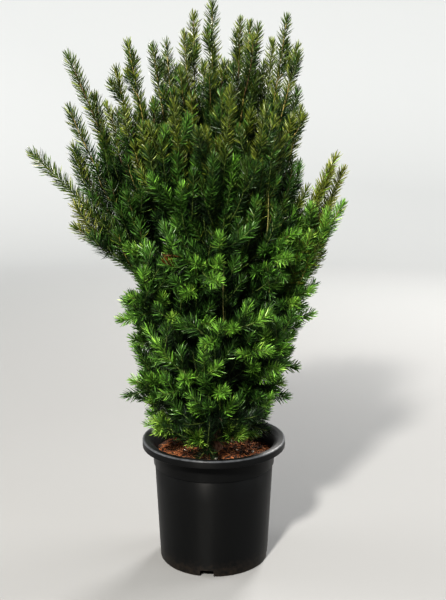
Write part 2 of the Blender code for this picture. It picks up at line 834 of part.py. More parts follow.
def make_mass(number, mass, space, home, bark):
    """A mass whose stem sits on the bark of its bough, or of the trunk."""
    name, main, twigs, young = mass
    colour = "new_needles" if young else "old_needles"
    stem_leafy, twig_leafy = TIER_LEAFY if young else LEADER_LEAFY
    shares = TIER_CORE if young else LEADER_CORE
    stem = main[0]
    rows = rows_of(stem, ROW_SPACING, STEM_RADIUS, (number, 0), space, 0.25)
    along, side, across = frames_of(rows)[0]
    angles = [2 * math.pi * corner / NEEDLES_A_ROW for corner in range(NEEDLES_A_ROW)]
    corners = [(side * math.cos(angle) + across * math.sin(angle)) * STEM_RADIUS for angle in angles]
    rows[0] = seated(rows[0], -along, corners, bark)
    meshes = [spray(name, rows, STEM_RADIUS, stem_leafy, (number, 0), space)]
    for shoot, path in enumerate([*main[1:], *twigs]):
        owner = (number, shoot + 1)
        rows = rows_of(path, ROW_SPACING, TWIG_RADIUS, owner, space, 0.0)
        if len(rows) > LEAST_ROWS:
            meshes.append(spray(name, rows, TWIG_RADIUS, twig_leafy, owner, space))
    rooms = core_rooms(stem, shares, space)
    if min(rooms) > LEAST_CORE:
        meshes.append(dense_core(name, stem, shares, rooms, (number, 0), space))
    return fused(name, meshes, home, colour)


def main():
    for obj in list(bpy.data.objects):
        bpy.data.objects.remove(obj)
    home = collection("potted_yew")
    cutters = collection("cutters")
    cutters.hide_render = True
    make_pot(home, cutters)
    make_soil(home)
    trunk_points, trunk_radii = trunk_path()
    trunk = limb_object("trunk", trunk_points, trunk_radii, TRUNK_SIDES, home, "bark")
    trunk_bark = surface_of(trunk)
    masses, boughs = plan_crown()
    barks = {}
    for name, points, radii in boughs:
        barks[name] = surface_of(make_bough(name, points, radii, home, trunk_bark))
    limbs = [(trunk_points, trunk_radii)] + [(points, radii) for _, points, radii in boughs]
    space = Space(masses, limbs)
    for number, mass in enumerate(masses):
        bark = barks.get(mass[0].replace("leader", "bough"), trunk_bark)
        make_mass(number, mass, space, home, bark)


main()
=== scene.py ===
"""Looks of the potted hillii yew: pot, potting mix, bark, twigs and needles, in metres, +Z up.

The crown grows by the rule of the solids: the same limbs, stems and shoots, carried on to finer
shoots that carry needles of life size.
"""

import itertools
import math
import random
import bmesh
import bpy
import numpy as np
from mathutils import Matrix, Vector, noise
from mathutils.kdtree import KDTree


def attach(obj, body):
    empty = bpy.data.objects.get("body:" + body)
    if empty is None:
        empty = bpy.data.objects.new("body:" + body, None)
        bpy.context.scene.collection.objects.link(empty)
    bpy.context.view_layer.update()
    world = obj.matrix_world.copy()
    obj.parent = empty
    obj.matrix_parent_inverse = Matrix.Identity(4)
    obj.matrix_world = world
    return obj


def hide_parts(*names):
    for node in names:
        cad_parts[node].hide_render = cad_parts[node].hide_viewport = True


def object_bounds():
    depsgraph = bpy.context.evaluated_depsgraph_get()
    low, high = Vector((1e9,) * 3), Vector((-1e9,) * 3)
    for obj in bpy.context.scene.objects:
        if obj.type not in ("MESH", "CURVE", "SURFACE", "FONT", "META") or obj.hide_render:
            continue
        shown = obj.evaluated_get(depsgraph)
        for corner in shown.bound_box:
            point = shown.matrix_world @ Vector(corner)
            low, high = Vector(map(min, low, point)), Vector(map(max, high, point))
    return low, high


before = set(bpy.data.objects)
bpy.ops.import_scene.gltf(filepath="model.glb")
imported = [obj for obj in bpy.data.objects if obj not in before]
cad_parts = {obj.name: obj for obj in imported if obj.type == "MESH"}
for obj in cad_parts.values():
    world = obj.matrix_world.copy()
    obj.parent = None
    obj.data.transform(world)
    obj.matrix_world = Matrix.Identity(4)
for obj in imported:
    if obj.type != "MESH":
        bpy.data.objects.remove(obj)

CAD_LOW, CAD_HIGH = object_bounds()

# Clearance between pieces that touch
GAP = 0.0003

# Pot
POT_HEIGHT = 0.243
POT_WALL = 0.0022
FOOT_RADIUS = 0.1068
FOOT_ROUNDING = 0.003
STEP_HEIGHT = 0.193
STEP_RADIUS = 0.1160
STEP_WIDTH = 0.0022
STEP_FILLET = 0.0016
NECK_RADIUS = 0.1215
RIM_RADIUS = 0.140
RIM_DEPTH = 0.0145
SKIRT_CORNER = 0.0015
LIP_INNER_RADIUS = 0.1285
LIP_FLARE = 0.007
LIP_ROUNDING = 0.0026
WALL_HEIGHTS = (0.05, 0.10, 0.15)
POT_SIDES = 160
NOTCH_COUNT = 4
NOTCH_WIDTH = 0.026
NOTCH_HEIGHT = 0.012
NOTCH_DEPTH = 0.014
NOTCH_ROUNDING = 0.004
NOTCH_FIRST_DEG = 262.5
SHARP_EDGE_DEG = 50.0

# Outline of the lip, out and up from its inner edge, and of the step, from the wall below it
LIP_POINTS = ((-0.0022, -0.0016), (-0.0004, -0.0003), (0.0012, 0.0))
STEP_POINTS = (
    (STEP_WIDTH, 0.0007),
    (STEP_WIDTH - 0.0002, 0.0002),
    (STEP_WIDTH - 0.0007, 0.0),
    (-0.0004, 0.0),
    (-0.0006, -0.0006),
)

# Potting mix: its surface with a mound round the trunk, then its colours, from dark to light
SOIL_TOP = 0.214
SOIL_RELIEF = 0.004
SOIL_FINE_RELIEF = 0.0016
SOIL_LUMPS = 34.0
SOIL_CRUMBS = 4.0
SOIL_SINK = 0.001
MOUND_HEIGHT = 0.004
MOUND_RADIUS = 0.040
SOIL_RINGS = 34
SOIL_SIDES = 120
SOIL_COLOURS = ((0.012, 0.007, 0.005), (0.070, 0.029, 0.014))
FIBRE_COLOURS = ((0.30, 0.120, 0.045), (0.60, 0.300, 0.130))
FIBRE_COUNT = 420
CHIPS = (
    ("chips_orange", 312, (0.19, 0.064, 0.022), (0.40, 0.160, 0.066)),
    ("chips_brown", 1144, (0.095, 0.032, 0.014), (0.220, 0.085, 0.036)),
    ("chips_dark", 988, (0.014, 0.008, 0.006), (0.050, 0.025, 0.015)),
    ("chips_pale", 26, (0.55, 0.50, 0.42), (0.80, 0.76, 0.68)),
)

# Chips: length, width as a share of it, depth as a share of that, unevenness of the corners, spread
# of the tilt, room to the pot's wall as a share of the length, and how far the middle stands out
CHIP_LENGTHS = (0.003, 0.011)
CHIP_WIDTHS = (0.25, 0.60)
CHIP_DEPTHS = (0.25, 0.50)
CHIP_CORNERS = (0.55, 1.0)
CHIP_ROLL = 0.45
CHIP_PITCH = 0.35
CHIP_MARGIN = 0.6
CHIP_RISE = 0.3

# Fibres: thickness, steps and their length, sides, how much they curl, and how high they lie
FIBRE_RADII = (0.00015, 0.00035)
FIBRE_STEP_LENGTHS = (0.0015, 0.0035)
FIBRE_STEPS = 6
FIBRE_SIDES = 3
FIBRE_CURL = 0.35
FIBRE_LIFT = 0.0012
FIBRE_ARCH = 0.002

# Trunk
TRUNK_TOP = 0.700
TRUNK_LEAN = (-0.006, 0.010)
TRUNK_SWAY = 0.004
TRUNK_RADIUS = 0.0125
TRUNK_TIP_RADIUS = 0.0045
FLARE_RADIUS = 0.0205
FLARE_HEIGHT = 0.030
TRUNK_RINGS = 170
TRUNK_SIDES = 28
TRUNK_RELIEF = 0.0010

# Length of the trunk's top segment in the solids
TOP_SEGMENT = (TRUNK_TOP - SOIL_TOP - FLARE_HEIGHT) / 9

# Boughs: a bough goes this share of the way to its aim, and bends this share of the way out. Its
# bark swells at the foot, and starts this share of the way to the trunk's middle
BOUGH_FOOT_RADIUS = 0.0065
BOUGH_TIP_RADIUS = 0.0036
BOUGH_SEGMENTS = 5
BOUGH_SHARE = 0.56
BOUGH_BEND = 0.62
BOUGH_RINGS = 30
BOUGH_SIDES = 14
BOUGH_RELIEF = 0.0006
BOUGH_SWELL = 1.15
BOUGH_ROOT = 0.55

# Plates of the bark, across and along the trunk, and the finer cracks in them
BARK_GRAIN = 220.0
BARK_LONG_GRAIN = 60.0
CRACK_DEPTH = 0.5
CRACK_GRAIN = 2.6

# Shoots
STEM_RADIUS = 0.0030
SITE_SPACING = 0.012
LIMB_SPACING = 0.008
CURVE_CHECKS = 24
LEAST_OUTWARD = 0.2
GOLDEN_DEG = 137.508
LOOK_AHEAD = 0.05
SHOOT_BEND = 0.5
TURN_UP = 0.28
SITE_RANGE = (0.2, 0.8)
OPENING_RANGE = (0.85, 1.15)
LENGTH_RANGE = (0.8, 1.15)
LOWEST_LENGTH = 1.15
LENGTH_TAPER = 0.4

# Leaders and arms: name, height of the bough's foot on the trunk, the bough's aim, then the tips of
# its shoots, of which the first is the stem's
LEADERS = (
    ("top", None, None, ((-0.002, 0.010, 1.060),)),
    ("left_a", 0.548, (-0.034, 0.030, 0.715), ((-0.036, 0.036, 1.042), (-0.052, -0.006, 1.004))),
    ("left_b", 0.520, (-0.068, 0.046, 0.690), ((-0.088, 0.058, 0.996), (-0.112, 0.030, 0.988))),
    ("left_c", 0.455, (-0.108, -0.012, 0.675), (
        (-0.154, -0.008, 0.988), (-0.174, -0.038, 0.940), (-0.194, -0.012, 0.878),
    )),
    ("left_edge", 0.374, (-0.160, 0.012, 0.650), (
        (-0.264, 0.004, 0.967), (-0.262, -0.012, 0.872), (-0.222, 0.030, 0.896), (-0.262, 0.016, 0.802),
    )),
    ("left_arm", 0.350, (-0.140, -0.045, 0.575), ((-0.329, -0.030, 0.792), (-0.250, -0.052, 0.700))),
    ("right_a", 0.535, (0.040, 0.026, 0.705), (
        (0.050, 0.022, 1.031), (0.084, 0.046, 1.024), (0.067, -0.004, 1.022),
    )),
    ("right_b", 0.516, (0.088, 0.006, 0.690), (
        (0.134, 0.004, 1.034), (0.110, 0.030, 0.994), (0.151, -0.020, 0.981),
    )),
    ("right_shoulder", 0.450, (0.112, -0.034, 0.612), ((0.158, -0.036, 0.870), (0.172, -0.030, 0.728))),
    ("right_arm", 0.345, (0.122, -0.004, 0.525), (
        (0.226, -0.016, 0.786), (0.246, 0.022, 0.762), (0.238, -0.030, 0.700), (0.204, -0.012, 0.606),
    )),
    ("front_left", 0.436, (-0.046, -0.070, 0.620), ((-0.069, -0.125, 0.880), (-0.110, -0.105, 0.840))),
    ("front", 0.458, (0.010, -0.068, 0.640), ((0.030, -0.125, 0.900), (-0.014, -0.130, 0.830))),
    ("front_right", 0.372, (0.060, -0.076, 0.600), ((0.090, -0.125, 0.870), (0.118, -0.095, 0.820))),
    ("back_left", 0.440, (-0.062, 0.086, 0.660), ((-0.098, 0.140, 0.960), (-0.150, 0.125, 0.900))),
    ("back", 0.528, (0.004, 0.092, 0.680), ((0.002, 0.150, 0.990), (0.040, 0.165, 0.915))),
    ("back_right", 0.366, (0.064, 0.086, 0.655), ((0.100, 0.135, 0.965), (0.145, 0.115, 0.900))),
)
LEADER_FORKS = (0.30, 0.22, 0.12)
LEADER_ONWARD = 0.35
LEADER_BULGE = 0.10

# Tiers of side sprays that grow from the trunk: name, how many, azimuth of the first, height of
# their feet, height of their tips, reach to the left and reach to the right. The tips of a tier
# lie high and low in turn
TIERS = (
    ("skirt", 4, 172.0, 0.236, 0.268, 0.128, 0.098),
    ("low", 5, 186.0, 0.262, 0.335, 0.156, 0.132),
    ("waist", 6, 178.0, 0.320, 0.425, 0.160, 0.164),
    ("middle", 6, 209.0, 0.400, 0.520, 0.186, 0.184),
    ("upper", 5, 176.0, 0.490, 0.630, 0.188, 0.165),
)
TIER_BULGE = -0.12
TIER_JITTER = 0.006
TIER_ZIGZAG = 0.020
TURN_ASIDE_DEG = (0, 6, -6, 12, -12, 18, -18, 24, -24)
STEM_CLEARANCE = 0.020

# Sprays: how many shoots, their length and opening, and the stretch of the stem that bears them
LEADER_SPRAY = (3, 0.095, 38.0, (0.05, 0.60))
TIER_SPRAY = (5, 0.100, 58.0, (0.30, 0.85))
TUFT_SPRAY = (7, 0.020, 64.0, (0.62, 0.98))
TUFT_TURN_UP = 0.12

# Finer shoots, generation by generation, in rows of: spacing along the parent, length, opening,
# upturn and the stretch of the parent that bears them
LEADER_FINE = (
    ((0.011, 0.112, 26.0, 0.90, (0.02, 0.66)), (0.032, 0.056, 38.0, 0.60, (0.62, 0.86))),
    ((0.015, 0.060, 33.0, 0.60, (0.10, 0.66)),),
)
TIER_FINE = (
    ((0.008, 0.070, 50.0, 0.28, (0.06, 0.94)),),
    ((0.014, 0.048, 44.0, 0.28, (0.12, 0.80)),),
)
SKIRT_FINE = (((0.008, 0.072, 56.0, 0.04, (0.20, 0.94)),), ())
INNER_FINE = ((0.010, 0.055, 62.0, 0.10, (0.02, 0.36)),)

# A finer shoot is at least this share of its full length, and its head is this far along it
LEAST_SHARE = 0.44
HEAD_SHARE = 0.8

# Heads stand this far apart, low in the crown and at its top; those by the trunk stand closer, and
# those of the left arm and the skirt farther
HEAD_SPACING = 0.023
TOP_SPACING = 0.030
INNER_SPACING = 0.017
APART_SPACING = 0.032
APART_MASSES = ("leader_left_arm", "skirt")
LEFT_PLUMES = ("leader_left_arm", "leader_left_edge")

# Finer shoots end this near to the solids' own, low in the crown and at its top, and out on the
# arms, where height counts for a share of the distance out
LOW_REACH = 0.036
TOP_REACH = 0.024
CROWN_HEIGHTS = (0.84, 1.00)
ARM_SHARE = 0.35
OUTER_RADII = (0.165, 0.215)
ARM_RADII = (0.200, 0.290)
ARM_HEIGHT = 0.70
ARM_RISE = 0.9

# The body stays within its tiers' reach, and falls back from the pot's rim at the front. Above
# that, the solids' own shoots by the middle of the front keep their length
OWN_MARGIN = 0.014
FRONT_MARGIN = 0.050
FRONT_HALF_WIDTH = 0.030
FINE_MARGIN = -0.008
FRONT_FALLBACK = 0.34
FRONT_TOP = 0.330

# A shoot past its reach is drawn back by this share at a time, this many times at most
DRAW_BACK = 0.08
DRAW_BACK_STEPS = 10

# Needles: their length on the body and at the apex, on the leaders and on the left plumes, the
# apex's height, their width, how much it follows their length, and their spacing along a shoot
NEEDLE_LENGTH = 0.0205
LEADER_NEEDLE_LENGTH = 0.0178
LEFT_NEEDLE_LENGTH = 0.0215
APEX_HEIGHT = 1.045
NEEDLE_WIDTH = 0.0016
LENGTH_IN_WIDTH = 0.15
LEADER_SPACING = 0.00044
BODY_SPACING = 0.00046
LEAST_NEEDLES = 14
NEEDLES_A_PIECE = 45000

# Room for needles over the pot's rim and the potting mix, and round a shoot's tip
RIM_ROOM = 0.002
SOIL_ROOM = 0.006
TIP_ROOM = 0.55 * NEEDLE_LENGTH
FLOOR_ROOM = 0.4 * TIP_ROOM

# Share of a shoot below its first needle, for finer shoots and by generation and youth, and the
# range where its head starts
FINE_BARE_SHARE = 0.08
BARE_SHARES = {(0, True): 0.50, (0, False): 0.12, (1, True): 0.20, (1, False): 0.05}
YOUNG_HEADS = (0.30, 0.55)
OLD_HEADS = (0.50, 0.75)

# How needles stand: opening along a shoot and at its tip, how far back the tip closes, and how
# much they differ
OLD_OPENING_DEG = 66.0
YOUNG_OPENING_DEG = 64.0
TIP_OPENING_DEG = 28.0
TIP_CLOSING = 0.0075
OPENING_SPREAD_DEG = 7.0
TURN_SPREAD = 0.15
NEEDLE_SPIN = 6.28
NEEDLE_SLACK = 0.6
NEEDLE_CROWDING = 0.88
NEEDLE_LIFT = 0.06

# Needles are shorter at a shoot's foot, for this share of it, and at its tip
SHORT_AT_FOOT = 0.20
FOOT_STRETCH = 0.20
SHORT_AT_TIP = 0.30
LENGTH_SPREAD = 0.10

# A needle's blade: points along it and out to a side, and whether they turn with its tip, then
# its triangles. Inside the crown it has fewer
BLADE_FOOT = ((0.0, 0.0, False), (0.14, -0.50, False), (0.14, 0.50, False))
BLADE_TIP = ((0.78, -0.46, True), (0.78, 0.46, True), (1.0, 0.0, True))
BLADE = (BLADE_FOOT + BLADE_TIP, ((0, 2, 1), (1, 2, 4), (1, 4, 3), (3, 4, 5)))
INNER_BLADE = (
    ((0.0, 0.0, False), (0.42, -0.56, False), (0.42, 0.56, True), (1.0, 0.0, True)),
    ((0, 2, 1), (1, 2, 3)),
)
BLADE_CURVE = 0.22
BLADE_RISE = (0.0, 0.0, 0.08)
BLADE_TWIST_DEG = 90.0
BLADE_TURN_DEG = 25.0

# A direction that no shoot has, from which their sides are found
ASKEW = (0.31, 0.57, 0.76)

# Twigs: thickness by generation, taper, and shares of straw, green and woody ones
TWIG_RADII = (0.0029, 0.0019, 0.0013, 0.0010)
TWIG_TIP_RADIUS = 0.0006
TWIG_TAPER = 0.8
TWIG_STEP = 0.014
STEM_SIDES = 6
TWIG_SIDES = 4
MAIN_TWIGS = (7, 2, 1)
FINE_TWIGS = (2, 5, 2)

# Camera, fitted to the pot's rim, step and base in a frame of 446 by 600
CAMERA_DISTANCE = 1.6392
CAMERA_HEIGHT = 0.8116
CAMERA_PITCH_DEG = 10.242
CAMERA_PAN_DEG = 0.6265
CAMERA_LENS = 52.2
SENSOR_WIDTH = 36.0

# Lights: name, place, size, power and colour
LIGHTS = (
    ("key", (-1.15, -3.4, 3.25), 0.45, 420.0, (1.0, 0.955, 0.88)),
    ("fill", (3.0, -1.6, 1.8), 2.4, 24.0, (0.88, 0.94, 1.0)),
    ("back", (1.4, 3.2, 2.9), 1.2, 160.0, (1.0, 0.97, 0.93)),
    ("left", (-3.2, 0.6, 2.4), 2.2, 50.0, (1.0, 0.98, 0.95)),
    ("right", (3.3, 1.2, 2.4), 2.2, 90.0, (1.0, 0.98, 0.95)),
)
LIGHT_AIM = (0.0, 0.0, 0.5)
SKY_COLOUR = (0.86, 0.90, 1.0, 1.0)
SKY_STRENGTH = 0.05

# Floor, and the light that the wall behind it gives off
FLOOR_RADIUS = 4.2
FLOOR_BEND = 1.4
FLOOR_SIDES = 96
FLOOR_ROUGHNESS = 0.9
BEND_STEPS = 20
WALL_TOP = 5.0
FLOOR_COLOUR = (0.20, 0.2025, 0.205, 1.0)
WALL_COLOUR = (0.98, 1.0, 0.99, 1.0)
WALL_GLOW = 0.42

# Rough finishes: the grain's scale, detail and fineness, roughness, and the relief's strength and
# depth; how far the grain is drawn out, and where the dark and the light colour start. The mix
# takes its scale from the piece
BARK_FINISH = (260.0, 8.0, 0.65, 0.85, 0.8, 0.0015)
BARK_STRETCH = 0.35
TWIG_STOPS = (0.30, 0.70)
MIX_STOPS = (0.35, 0.68)
TWIG_FINISH = (180.0, 4.0, 0.55, 0.6, 0.4, 0.0004)
MIX_FINISH = (8.0, 0.7, 0.95, 0.9, 0.0015)
MIX_SCALE = 160.0
CHIP_SCALE = 300.0
FIBRE_SCALE = 400.0

# Finish of the pot: its colours and shine, how far the marks of its turning draw the shine out, how
# high dust lies, and where the rim is lightened, by radius and by height, as wear and a painted
# highlight
POT_BLACK = (0.0050, 0.0053, 0.0056)
POT_DUST = (0.034, 0.026, 0.020)
# Pale grey-blue of the rim's edge: wear and a painted highlight of the lip
POT_WORN_HIGHLIGHT = (0.036, 0.039, 0.044)
POT_WORN_HIGHLIGHT_PALE = (0.076, 0.080, 0.086)
POT_ROUGHNESS = (0.30, 0.52)
POT_SHINE = 0.17
TURNING_MARKS = 0.75
DUST_HEIGHT = 0.075
RUBBED_LIT_RADII = (RIM_RADIUS - 0.0060, RIM_RADIUS - 0.0025)
RUBBED_LIT_HEIGHTS = (POT_HEIGHT - 0.0040, POT_HEIGHT - 0.0018)

# Noises of the pot's dust, of the rim's wear and painted highlight, and of its pores: scale, detail
# and fineness; how far the wear and highlight are drawn out, and the pores' strength and depth
POT_SPECKS = (120.0, 8.0, 0.7)
POT_RUBBING_AND_SHEEN = (45.0, 6.0, 0.6)
POT_PORES = (1400.0, 2.0)
RUBBING_AND_SHEEN_STRETCH = 0.12
PORE_RELIEF = (0.10, 0.0002)

# Colours of the bark between its plates and on them, and of the twigs, dark and light
BARK_STOPS = ((0.32, (0.050, 0.022, 0.012)), (0.50, (0.135, 0.066, 0.038)), (0.68, (0.230, 0.165, 0.115)))
TWIG_COLOURS = {
    "wood": ((0.060, 0.032, 0.018), (0.160, 0.095, 0.052)),
    "straw": ((0.140, 0.106, 0.034), (0.300, 0.240, 0.084)),
    "green": ((0.050, 0.075, 0.018), (0.120, 0.160, 0.040)),
    "bare": ((0.088, 0.084, 0.028), (0.200, 0.190, 0.070)),
}

NEEDLE_COLOURS = {
    "deep": (0.006, 0.017, 0.005),
    "dark": (0.018, 0.044, 0.010),
    "old": (0.040, 0.066, 0.013),
    "olive": (0.098, 0.122, 0.018),
    "gold": (0.170, 0.180, 0.036),
    "green": (0.045, 0.105, 0.018),
    "fresh": (0.112, 0.222, 0.036),
    "lime": (0.198, 0.308, 0.060),
    "rust": (0.072, 0.030, 0.010),
}

# Colours of the needles inside the crown, which have fewer faces, the ones with less shine, and
# the young ones
INNER_COLOURS = ("deep", "dark")
DULL_COLOURS = ("deep", "dark", "old")
YOUNG_COLOURS = ("green", "fresh", "lime")

# Shine of the needles, of the dull ones and of the withered ones, then all needles' roughness,
# tones within a colour, grain and relief
NEEDLE_SHINE = 0.5
DULL_SHINE = 0.36
RUST_SHINE = 0.05
NEEDLE_ROUGHNESS = (0.38, 0.52)
NEEDLE_TONES = ((0.0, 0.50), (0.5, 0.95), (1.0, 1.60))
NEEDLE_GRAIN = (900.0, 2.0)
NEEDLE_RELIEF = (0.15, 0.0002)

# Colours and their shares by zone of the crown: of a shoot's older needles, then of those at its head
NEEDLE_ZONES = {
    "fresh leader": ({"green": 4, "dark": 2}, {"green": 4, "fresh": 2}),
    "green arm": (
        {"dark": 1, "green": 6, "fresh": 1, "olive": 2},
        {"fresh": 4, "green": 3, "olive": 2, "lime": 1},
    ),
    "golden arm": ({"olive": 6, "gold": 2, "old": 1}, {"olive": 3, "gold": 6, "lime": 1}),
    "arm": ({"dark": 5, "old": 4, "green": 1}, {"olive": 5, "old": 5, "dark": 2, "gold": 1}),
    "leader": ({"old": 4, "olive": 1, "dark": 4}, {"olive": 5, "old": 4, "dark": 2}),
    "top": ({"dark": 5, "deep": 3, "old": 2}, {"old": 3, "dark": 3, "olive": 5, "green": 2}),
    "crown": ({"deep": 4, "dark": 3, "old": 1}, {"green": 6, "dark": 4, "old": 2, "olive": 1}),
    # Shoots deep inside the body take near-black colours: painted shade
    "deep body": ({"deep": 1}, {"dark": 3, "green": 1, "deep": 2}),
    "tuft": ({"dark": 1, "green": 2, "fresh": 3}, {"fresh": 4, "lime": 7}),
    # Low sprays at the front take near-black colours: painted shade
    "shaded skirt": ({"deep": 1}, {"deep": 4, "dark": 2}),
    "body": ({"deep": 2, "dark": 2}, {"dark": 3, "green": 5, "fresh": 1}),
    "sunny body": ({"dark": 3, "green": 2}, {"fresh": 8, "green": 3, "lime": 2}),
}

# Share of a shoot's needles that take any colour of their mix, instead of the shoot's own
STRAY_SHARE = 0.55

# Shoots that start this far inside the body's reach are the darkest, as painted shade. Sunny heads
# end this far out, and stand at least this far apart
DEEP_SHARE = 0.55
OUTER_SHARE = 0.78
SUNNY_SPACING = 0.036

# Above this height the crown's finer shoots are as light as its top
TOP_HEIGHT = 0.80

# The right arm's shoots are golden above this height, and green below it
GOLDEN_HEIGHT = 0.70

# Leaders of fresher needles: the share of their shoots that have them
FRESH_LEADERS = {"leader_front_left": 0.40, "leader_front": 0.15}

# Bright tufts at the front of the skirt: their tips, radius, foot along a stem, and sag
TUFTS = ((-0.104, -0.045, 0.284), (-0.036, -0.090, 0.272), (0.050, -0.080, 0.282))
TUFT_RADIUS = 0.026
TUFT_FOOT = 0.45
TUFT_SAG = 0.010

# Sprays at the front that end below this height and this near the middle take dark colours as
# painted shade, apart from the tufts
SHADE_HEIGHT = 0.335
SHADE_HALF_WIDTH = 0.116

# The left plumes' shoots are olive outside this radius
OLIVE_RADIUS = 0.235

# Bare stems that show at the front: where each bends up, where it ends, and its thickness
BARE_STEMS = (
    ((-0.033, -0.156, 0.560), (-0.029, -0.166, 0.624), 0.0008),
    ((0.014, -0.132, 0.520), (0.018, -0.144, 0.604), 0.0008),
    ((0.106, -0.092, 0.500), (0.096, -0.112, 0.592), 0.0007),
    ((0.101, -0.086, 0.620), (0.097, -0.092, 0.730), 0.0015),
)
BARE_FOOT = 0.60
BARE_RINGS = 16
BARE_TAPER = (1.2, 0.7)

# A patch of withered needles at the front: its middle, and how far it goes across and up
RUST_PLACE = (-0.082, 0.613)
RUST_SIZE = (0.011, 0.005)

# First seeds of the dice
SOIL_SEED = 7
TUFT_SEED = 60
TIER_SEED = 100
SPRAY_SEED = 200
FINE_SEED = 1000
INNER_SEED = 4000
COLOUR_SEED = 5000
TWIG_SEED = 9000


# Scene, camera and light


def placed(name, data):
    """A new object in the scene."""
    made = bpy.data.objects.new(name, data)
    bpy.context.scene.collection.objects.link(made)
    return made


def add_camera():
    data = bpy.data.cameras.new("camera")
    data.lens = CAMERA_LENS
    data.sensor_width = SENSOR_WIDTH
    camera = placed("camera", data)
    camera.location = (0.0, -CAMERA_DISTANCE, CAMERA_HEIGHT)
    pitch = math.radians(90.0 - CAMERA_PITCH_DEG)
    camera.rotation_euler = (pitch, 0.0, -math.radians(CAMERA_PAN_DEG))
    bpy.context.scene.camera = camera


def add_light(name, place, size, power, colour):
    data = bpy.data.lights.new(name, "AREA")
    data.shape = "DISK"
    data.size = size
    data.energy = power
    data.color = colour
    light = placed(name, data)
    light.location = place
    light.rotation_euler = (Vector(LIGHT_AIM) - Vector(place)).to_track_quat("-Z", "Y").to_euler()


def add_world():
    world = bpy.data.worlds.new("studio")
    bpy.context.scene.world = world
    world.use_nodes = True
    tree = world.node_tree
    feed(tree, tree.nodes["Background"], {"Color": SKY_COLOUR, "Strength": SKY_STRENGTH})


def add_floor():
    """A round pale floor that curves up into a wall, which gives off light."""
    wall = FLOOR_RADIUS + FLOOR_BEND
    profile = [(0.0, 0.0)]
    profile += arc((FLOOR_RADIUS, FLOOR_BEND), FLOOR_BEND, -90.0, 0.0, BEND_STEPS)
    profile.append((wall, WALL_TOP))
    floor = placed("floor", turned_mesh("floor", profile, FLOOR_SIDES))
    made, tree, place = new_material("floor")
    glow = range_node(tree, squared_radius(tree, place), (1.0, wall**2), (0.0, WALL_GLOW))
    values = {"Base Color": FLOOR_COLOUR, "Roughness": FLOOR_ROUGHNESS}
    values.update({"Emission Color": WALL_COLOUR, "Emission Strength": glow})
    floor.data.materials.append(finished(made, values))


# Materials


def feed(tree, node, values):
    """Gives a node's inputs their values, or links them to other nodes' outputs."""
    for name, value in values.items():
        if isinstance(value, bpy.types.NodeSocket):
            tree.links.new(value, node.inputs[name])
        else:
            node.inputs[name].default_value = value


def node_of(tree, kind, output, values, **settings):
    """The output of a new node of that kind."""
    node = tree.nodes.new(kind)
    for name, value in settings.items():
        setattr(node, name, value)
    feed(tree, node, values)
    return node.outputs[output]


def new_material(name):
    """A node material, its tree and the place on the object."""
    made = bpy.data.materials.new(name)
    made.use_nodes = True
    tree = made.node_tree
    return made, tree, node_of(tree, "ShaderNodeTexCoord", "Object", {})


def finished(made, values):
    """The material, with those values and links on its shader."""
    feed(made.node_tree, made.node_tree.nodes["Principled BSDF"], values)
    return made


def noise_node(tree, place, scale, detail, fineness=0.55):
    values = {"Vector": place, "Scale": scale, "Detail": detail, "Roughness": fineness}
    return node_of(tree, "ShaderNodeTexNoise", "Fac", values)


def ramp_node(tree, factor, stops):
    """A colour ramp through (position, colour) stops."""
    node = tree.nodes.new("ShaderNodeValToRGB")
    elements = node.color_ramp.elements
    while len(elements) < len(stops):
        elements.new(0.5)
    for element, (position, colour) in zip(elements, stops):
        element.position = position
        element.color = (*colour, 1.0)
    feed(tree, node, {"Fac": factor})
    return node.outputs["Color"]


def range_node(tree, value, given, wanted=(0.0, 1.0)):
    """A value spread from one range over another, and held beyond its ends."""
    names = ("Value", "From Min", "From Max", "To Min", "To Max")
    values = dict(zip(names, (value, *given, *wanted)))
    return node_of(tree, "ShaderNodeMapRange", "Result", values)


def bump_node(tree, height, strength, distance):
    values = {"Height": height, "Strength": strength, "Distance": distance}
    return node_of(tree, "ShaderNodeBump", "Normal", values)


def squeezed(tree, place, share):
    """A place whose height counts for only that share."""
    values = {"Vector": place, "Scale": (1.0, 1.0, share)}
    return node_of(tree, "ShaderNodeMapping", "Vector", values)


def product(tree, first, second):
    return node_of(tree, "ShaderNodeMath", "Value", {0: first, 1: second}, operation="MULTIPLY")


def squared_radius(tree, place):
    """Square of a place's distance from the upright axis."""
    level = squeezed(tree, place, 0.0)
    values = {0: level, 1: level}
    return node_of(tree, "ShaderNodeVectorMath", "Value", values, operation="DOT_PRODUCT")


def needle_material(name, colour):
    """A waxy needle colour that differs a little from needle to needle."""
    made, tree, place = new_material(f"needle_{name}")
    shine = DULL_SHINE if name in DULL_COLOURS else NEEDLE_SHINE
    island = node_of(tree, "ShaderNodeNewGeometry", "Random Per Island", {})
    stops = [(at, [channel * factor for channel in colour]) for at, factor in NEEDLE_TONES]
    grain = noise_node(tree, place, *NEEDLE_GRAIN)
    values = {
        "Base Color": ramp_node(tree, island, stops),
        "Roughness": range_node(tree, grain, (0.0, 1.0), NEEDLE_ROUGHNESS),
        "Specular IOR Level": RUST_SHINE if name == "rust" else shine,
        "Normal": bump_node(tree, grain, *NEEDLE_RELIEF),
    }
    return finished(made, values)


def grained(name, stops, scale, detail, fineness, roughness, relief, depth, stretch=1.0):
    """A rough finish whose colour and relief follow one noise."""
    made, tree, place = new_material(name)
    grain = noise_node(tree, squeezed(tree, place, stretch), scale, detail, fineness)
    values = {
        "Base Color": ramp_node(tree, grain, stops),
        "Roughness": roughness,
        "Normal": bump_node(tree, grain, relief, depth),
    }
    return finished(made, values)


def bark_material():
    """Thin scaly bark: grey-brown plates with red-brown between them."""
    return grained("bark", BARK_STOPS, *BARK_FINISH, stretch=BARK_STRETCH)


def twig_material(kind):
    """Young bark, mottled along its length."""
    return grained(f"twig_{kind}", list(zip(TWIG_STOPS, TWIG_COLOURS[kind])), *TWIG_FINISH)


def mix_material(name, dark, light, scale):
    """Potting mix, or one kind of chip in it."""
    return grained(name, list(zip(MIX_STOPS, (dark, light))), scale, *MIX_FINISH)


